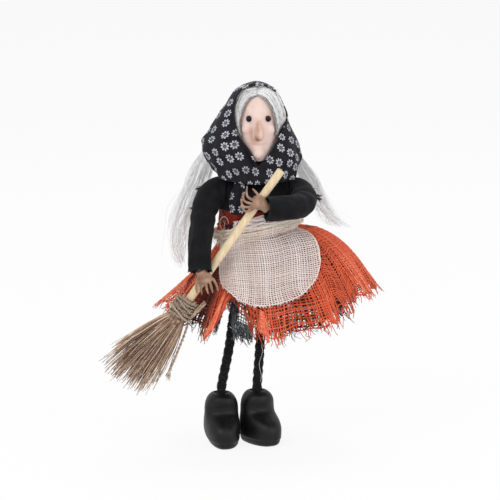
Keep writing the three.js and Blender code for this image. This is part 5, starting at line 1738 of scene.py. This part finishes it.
class DOLL_OT_broom(bpy.types.Operator):
    """Saws the dowel, packs the straw on it and binds it with twine"""
    bl_idname = "doll.broom"
    bl_label = "Broom"

    def execute(self, context):
        settings = context.scene.doll_broom
        only()
        bpy.ops.mesh.primitive_cylinder_add(
            vertices=48, radius=HANDLE_RADIUS * 0.001, depth=HANDLE_LONG * 0.001, end_fill_type="NGON",
            location=metres(along_broom(HANDLE_LONG / 2)), rotation=(0, math.radians(BROOM_LEAN), 0))
        handle = rename(bpy.context.object, "dowel_handle")
        settle(handle)
        top, bottom = metres(along_broom([0, HANDLE_LONG]))
        for end in (top, bottom):
            pick(handle, lambda place: (place - Vector(end)).length < HANDLE_RADIUS * 0.0011)
            bpy.ops.mesh.bevel(offset=0.00032, segments=2, affect="EDGES")
            bpy.ops.object.mode_set(mode="OBJECT")
        bpy.ops.object.mode_set(mode="EDIT")
        for place in metres(along_broom(HANDLE_LONG * steps(9, 0.1, 0.9))):
            bpy.ops.mesh.select_all(action="SELECT")
            bpy.ops.mesh.bisect(plane_co=place, plane_no=unit(top - bottom))
        smooth_shade(handle, 35)
        finish_piece(handle, "broom", "dowel", "ramin dowel", "broom_handle")

        random = np.random.default_rng(62)
        brush = Yarn()
        straws = settings.straws
        k = np.arange(straws)
        turn = k * math.pi * (3 - math.sqrt(5)) + random.normal(0, 0.25, straws)
        reach = np.sqrt((k + 0.5) / straws)
        side, depth = reach * np.cos(turn), reach * np.sin(turn)
        share = steps(9)[None]
        stray = random.random(straws) < 0.1
        long = STRAW_LONG + random.uniform(-13, 8, straws) - 6 * side ** 2
        long[stray] += random.uniform(0, 3, stray.sum())
        tip_side = BRUSH_SHIFT + side * BRUSH_HALF_WIDE + random.normal(0, 1.0, straws)
        tip_side[stray] += random.normal(0, 3.0, stray.sum())
        # Straws cling together in a couple of dozen clumps.
        clumps = random.uniform(-1, 1, (2, 26))
        nearest = ((side[:, None] - clumps[0]) ** 2 + (depth[:, None] - clumps[1]) ** 2).argmin(axis=1)
        tip_side = mix(tip_side, BRUSH_SHIFT + clumps[0, nearest] * BRUSH_HALF_WIDE, 0.42)
        tip_depth = mix(depth, clumps[1, nearest] * 0.8, 0.3) * BRUSH_HALF_DEEP \
            + random.normal(0, 0.8, straws)
        swell = share ** 0.85
        bow = np.sin(np.pi * share) * random.normal(0, 0.9, (straws, 1))
        lines = along_broom(
            BUNDLE_START - 1.0 + (long[:, None] + 1.0) * share,
            mix(side[:, None] * BUNDLE_RADIUS * 0.92, tip_side[:, None], swell) + bow
            + wander(random, straws, 9, 0.35) * share,
            mix(depth[:, None] * BUNDLE_RADIUS * 0.92, tip_depth[:, None], swell)
            + np.sin(np.pi * share) * random.normal(0, 0.5, (straws, 1)))
        thick = random.uniform(0.27, 0.47, (straws, 1)) * (1 - 0.5 * share)
        brush.lay(lines, thick, 4, tones(random, 0.6, 0.3, straws))
        # Short broken straws fill the head of the bundle, and pale fines lie between them.
        fines = 160
        turn = random.uniform(0, 2 * np.pi, (fines, 1))
        out = random.uniform(0.7, 1.04, (fines, 1))
        start = random.uniform(-1, 14, (fines, 1))
        level = (start + random.uniform(6, 22, (fines, 1)) * steps(5)) / STRAW_LONG
        lines = along_broom(
            BUNDLE_START + level * STRAW_LONG,
            mix(BUNDLE_RADIUS, BRUSH_HALF_WIDE, level) * out * np.cos(turn) + BRUSH_SHIFT * level,
            mix(BUNDLE_RADIUS, BRUSH_HALF_DEEP, level) * out * np.sin(turn))
        brush.lay(lines, 0.2, 3, tones(random, 0.6, 0.25, fines))
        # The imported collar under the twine: straw ends laid close round the handle.
        collar = 54
        turn = circle(collar)[:, None]
        share = steps(8)[None]
        radius = mix(NECK_OUTER - 0.7, BUNDLE_RADIUS - 0.2, np.clip((share - 0.75) / 0.25, 0, 1))
        lines = along_broom(
            BINDING_START - 1.5 * random.random((collar, 1)) + (WINDING_LONG + 5) * share,
            radius * np.cos(turn), radius * np.sin(turn))
        brush.lay(lines, 0.5, 5, tones(random, 0.5, 0.18, collar))
        # A solid core fills the collar and the head of the bundle, painted dark as painted shade between
        # the straws.
        inner = along_broom(BINDING_START + steps(8, 0.5, WINDING_LONG + 8))
        brush.lay(inner, steps(8, NECK_OUTER - 0.8, BUNDLE_RADIUS - 1)[None], 24, 0.25)
        brush.finish("broom_straws", "broom", "straw", "dried broom straw", "broom_bristles")

        radius = settings.twine * 500
        wound = Yarn()
        turns = steps(520, 0, TWINE_LOOPS)
        angle = 2 * np.pi * turns
        ring = NECK_OUTER + GAP + TWINE_RADIUS + 0.12 * np.sin(turns * 5)
        path = along_broom(BINDING_START + turns * TWINE_PITCH, ring * np.cos(angle), ring * np.sin(angle))
        two_ply(wound, path, radius, random, 0.42, 150)
        # Three slack loops lie over the winding, as where the end was tucked under.
        at = steps(60)
        angle = mix(-0.6, 2 * np.pi * 0.62, at)
        for low, size, tone in ((1.4, 0.9, 0.5), (2.8, 1.3, 0.42), (4.0, 0.8, 0.55)):
            ring = NECK_OUTER + GAP + 2.6 * TWINE_RADIUS + size * np.sin(np.pi * at) * 0.7
            loop = along_broom(BINDING_START + low * TWINE_PITCH + 2.2 * np.sin(np.pi * at * 2) + at * 2.2,
                               ring * np.cos(angle), ring * np.sin(angle))
            two_ply(wound, loop, radius * 0.8, random, tone, 10)
        wound.finish("twine_binding", "broom", "twine", "two-ply jute twine", "broom_binding")

        # A pale wisp of straw fibre sticks out on the right of the binding.
        wisp = Yarn()
        share = steps(7)
        for _ in range(44):
            lift = random.uniform(5, 15)
            spread = random.uniform(0.6, 3.6)
            line = along_broom(BINDING_START + 9 - lift * share + random.normal(0, 0.4),
                               NECK_OUTER + 1.2 + spread * share ** 0.7 + 0.25 * np.sin(share * 9),
                               4.6 + random.normal(0, 0.8) * share)
            wisp.lay(line, 0.13, 3, random.uniform(0.75, 1))
        wisp.finish("straw_wisp", "broom", "straw", "dried broom straw")
        return {"FINISHED"}


class DOLL_OT_belt(bpy.types.Operator):
    """Winds the twine belt round the waist, and teases its knot into curls"""
    bl_idname = "doll.belt"
    bl_label = "Belt"

    def execute(self, context):
        random = np.random.default_rng(71)
        belt = Yarn()
        cords = 6
        knot_turn = math.radians(222)
        turn = steps(260, 0, 2 * np.pi) + knot_turn
        for cord in range(cords):
            level = cord - (cords - 1) / 2
            out = 4.0 + 0.35 * np.cos(cord * 2.2 + turn * 3) + 0.3 * np.sin(turn * 7 + cord)
            rise = level + 0.55 * np.sin(turn * (2 + 0.5 * (cord % 3)) + cord * 1.7)
            path = waist(turn, out, 1.6 + rise)
            path[-1] = path[0]
            two_ply(belt, path, 0.7, random, random.uniform(0.85, 1.0), 36)
        belt.finish("belt_twine", "body", "twine", "two-ply jute twine", "belt_cord")

        # Above the belt the apron's cheesecloth is bunched in soft level folds.
        bunch = Yarn()
        for fold in range(26):
            at = steps(70, 236, 338 + random.uniform(-8, 4))
            turn = np.radians(at)
            level = 3.2 + 7.4 * (fold / 25) * np.interp(at, [236, 262, 320, 340], [0.35, 1, 1, 0.3])
            out = 3.2 + 1.5 * np.sin(fold * 1.35 + 2 * turn) + 0.5 * np.sin(turn * 19 + fold)
            line = waist(turn, out, level + 0.4 * np.sin(turn * 11 + fold * 0.7))
            bunch.lay(line, 0.4, 4, random.uniform(0.8, 1.0))
        share = steps(7)
        for _ in range(130):
            turn = np.radians(random.uniform(238, 334) + share * random.normal(0, 2))
            out = 3.4 + 1.4 * np.sin(share * 8 + random.uniform(0, 6))
            bunch.lay(waist(turn, out, 3 + 7.5 * share), 0.26, 3, random.uniform(0.5, 1))
        bunch.finish("apron_bunch", "body", "gauze", "cotton cheesecloth")

        # The knot is a small coil, with its ends and some cheesecloth threads curling off it.
        centre = waist(knot_turn, 4.6, 2)
        knot = Yarn()
        for number in range(4):
            angle = steps(70) * 2 * np.pi * 1.6 + number * 1.7
            wide = random.uniform(2.0, 3.4)
            coil = np.stack([wide * np.cos(angle), 1.4 * np.sin(angle + 0.8) - 0.6,
                             0.8 * wide * np.sin(angle * 0.98)], axis=1)
            two_ply(knot, centre + coil, 0.62, random, random.uniform(0.55, 0.9), 12)
        share = steps(12)
        for _ in range(80):
            away = np.array([
                random.normal(-0.5, 0.7), random.uniform(-0.5, 0.1), random.normal(-0.4, 0.7)])
            spin = share * random.uniform(3, 9) + random.uniform(0, 6)
            line = centre + unit(away) * share[:, None] * random.uniform(4, 10) \
                + curl(spin, 0.9 * share * random.uniform(0.4, 1.4), 0.4, 1)
            knot.lay(line, 0.15, 3, random.uniform(0.6, 1))
        knot.finish("belt_tied_knot", "body", "twine", "two-ply jute twine", "belt_knot")
        return {"FINISHED"}


# Stage, panel and running order

def soft_lamp(name, place, size, power):
    """A square soft box in metres, turned to face the doll."""
    only()
    bpy.ops.object.light_add(type="AREA", location=place)
    lamp = rename(bpy.context.object, name)
    lamp.data.size = size
    lamp.data.energy = power
    aim = (0, 0, 0.13)
    lamp.rotation_euler = (Vector(aim) - Vector(place)).to_track_quat("-Z", "Y").to_euler()


def show_white(tree, shaded, share, white, output):
    """Where rays see a background itself, or by way of gloss or glass, blends it to plain white."""
    rays = add_node(tree, "LightPath").node.outputs
    direct = add_node(
        tree, "Math", (rays["Is Camera Ray"], rays["Is Glossy Ray"]), operation="MAXIMUM")
    direct = add_node(tree, "Math", (direct, rays["Is Transmission Ray"]), operation="MAXIMUM")
    direct = add_node(tree, "Math", (direct, share), operation="MULTIPLY")
    lit = add_node(tree, white, {"Color": linear("#ffffff"), "Strength": 1.0})
    both = add_node(tree, "MixShader", (direct, shaded, lit))
    tree.links.new(both, tree.nodes[output].inputs["Surface"])


# Where the camera aims, in drawing millimetres, how far it looks down, and its distance from there
# and the width of its view, in metres.
VIEW_AIM = (6.8, 0, 134.6)
VIEW_RISE = math.radians(10)
VIEW_FAR = 2.0
VIEW_WIDE = 0.34


class DOLL_OT_camera(bpy.types.Operator):
    """Places the camera as the picture was taken"""
    bl_idname = "doll.camera"
    bl_label = "Camera"

    def execute(self, context):
        only()
        away = Vector((0, -math.cos(VIEW_RISE), math.sin(VIEW_RISE))) * VIEW_FAR
        bpy.ops.object.camera_add(location=Vector(metres(VIEW_AIM)) + away)
        camera = bpy.context.object
        camera.name = "view_camera"
        camera.rotation_euler = (-away).to_track_quat("-Z", "Y").to_euler()
        camera.data.sensor_width = 36
        camera.data.lens = 36 * VIEW_FAR / VIEW_WIDE
        context.scene.camera = camera
        return {"FINISHED"}


class DOLL_OT_stage(bpy.types.Operator):
    """Lays the pale floor and hangs the soft lamps"""
    bl_idname = "doll.stage"
    bl_label = "Floor and light"

    def execute(self, context):
        only()
        bpy.ops.mesh.primitive_plane_add(size=12, location=(0, 0, 0))
        floor = bpy.context.object
        floor.name = "stage_floor"
        # Matt white paper: it takes the doll's shadow, and is near white where nothing shades it.
        surface, tree, shader = new_surface("matt white paper", Base_Color=linear("#ffffff"), Roughness=1.0)
        show_white(tree, shader.outputs["BSDF"], 0.88, "Emission", "Material Output")
        floor.data.materials.append(surface)

        world = bpy.data.worlds.new("studio")
        context.scene.world = world
        world.use_nodes = True
        room = world.node_tree.nodes["Background"]
        room.inputs["Color"].default_value = linear("#ffffff")
        room.inputs["Strength"].default_value = 0.48
        show_white(world.node_tree, room.outputs["Background"], 1.0, "Background", "World Output")

        soft_lamp("key_lamp", (-0.9, -1.5, 1.5), 1.6, 19)
        soft_lamp("fill_lamp", (1.5, -1.3, 0.7), 1.5, 10)
        soft_lamp("top_lamp", (0.2, 0.6, 1.7), 0.9, 8)
        context.scene.view_settings.view_transform = "Standard"
        return {"FINISHED"}


STEPS = (
    DOLL_OT_camera, DOLL_OT_twine_tail, DOLL_OT_bodice, DOLL_OT_petticoat, DOLL_OT_skirt, DOLL_OT_apron,
    DOLL_OT_belt, DOLL_OT_head, DOLL_OT_eyes, DOLL_OT_hair, DOLL_OT_scarf, DOLL_OT_sleeves,
    DOLL_OT_hands, DOLL_OT_legs, DOLL_OT_shoes, DOLL_OT_broom, DOLL_OT_stage,
)
SETTINGS = {"doll_cloth": DollClothSettings, "doll_hair": DollHairSettings, "doll_broom": DollBroomSettings}


class DOLL_PT_build(bpy.types.Panel):
    """Lists the doll's settings and the steps that build it"""
    bl_idname = "DOLL_PT_build"
    bl_label = "Kitchen witch doll"
    bl_space_type = "VIEW_3D"
    bl_region_type = "UI"
    bl_category = "Doll"

    def draw(self, context):
        for name, kind in SETTINGS.items():
            box = self.layout.box()
            for key in kind.__annotations__:
                box.prop(getattr(context.scene, name), key)
        for step in STEPS:
            self.layout.operator(step.bl_idname)


def register():
    for kind in (*SETTINGS.values(), *STEPS, DOLL_PT_build):
        bpy.utils.register_class(kind)
    for name, kind in SETTINGS.items():
        setattr(bpy.types.Scene, name, bpy.props.PointerProperty(type=kind))


def unregister():
    for name in SETTINGS:
        delattr(bpy.types.Scene, name)
    for kind in reversed((*SETTINGS.values(), *STEPS, DOLL_PT_build)):
        bpy.utils.unregister_class(kind)


def main():
    register()
    for step in STEPS:
        getattr(bpy.ops.doll, step.bl_idname.split(".")[1])()
    plain_surface("neck_dowel", "birch dowel")


if __name__ == "__main__":
    main()
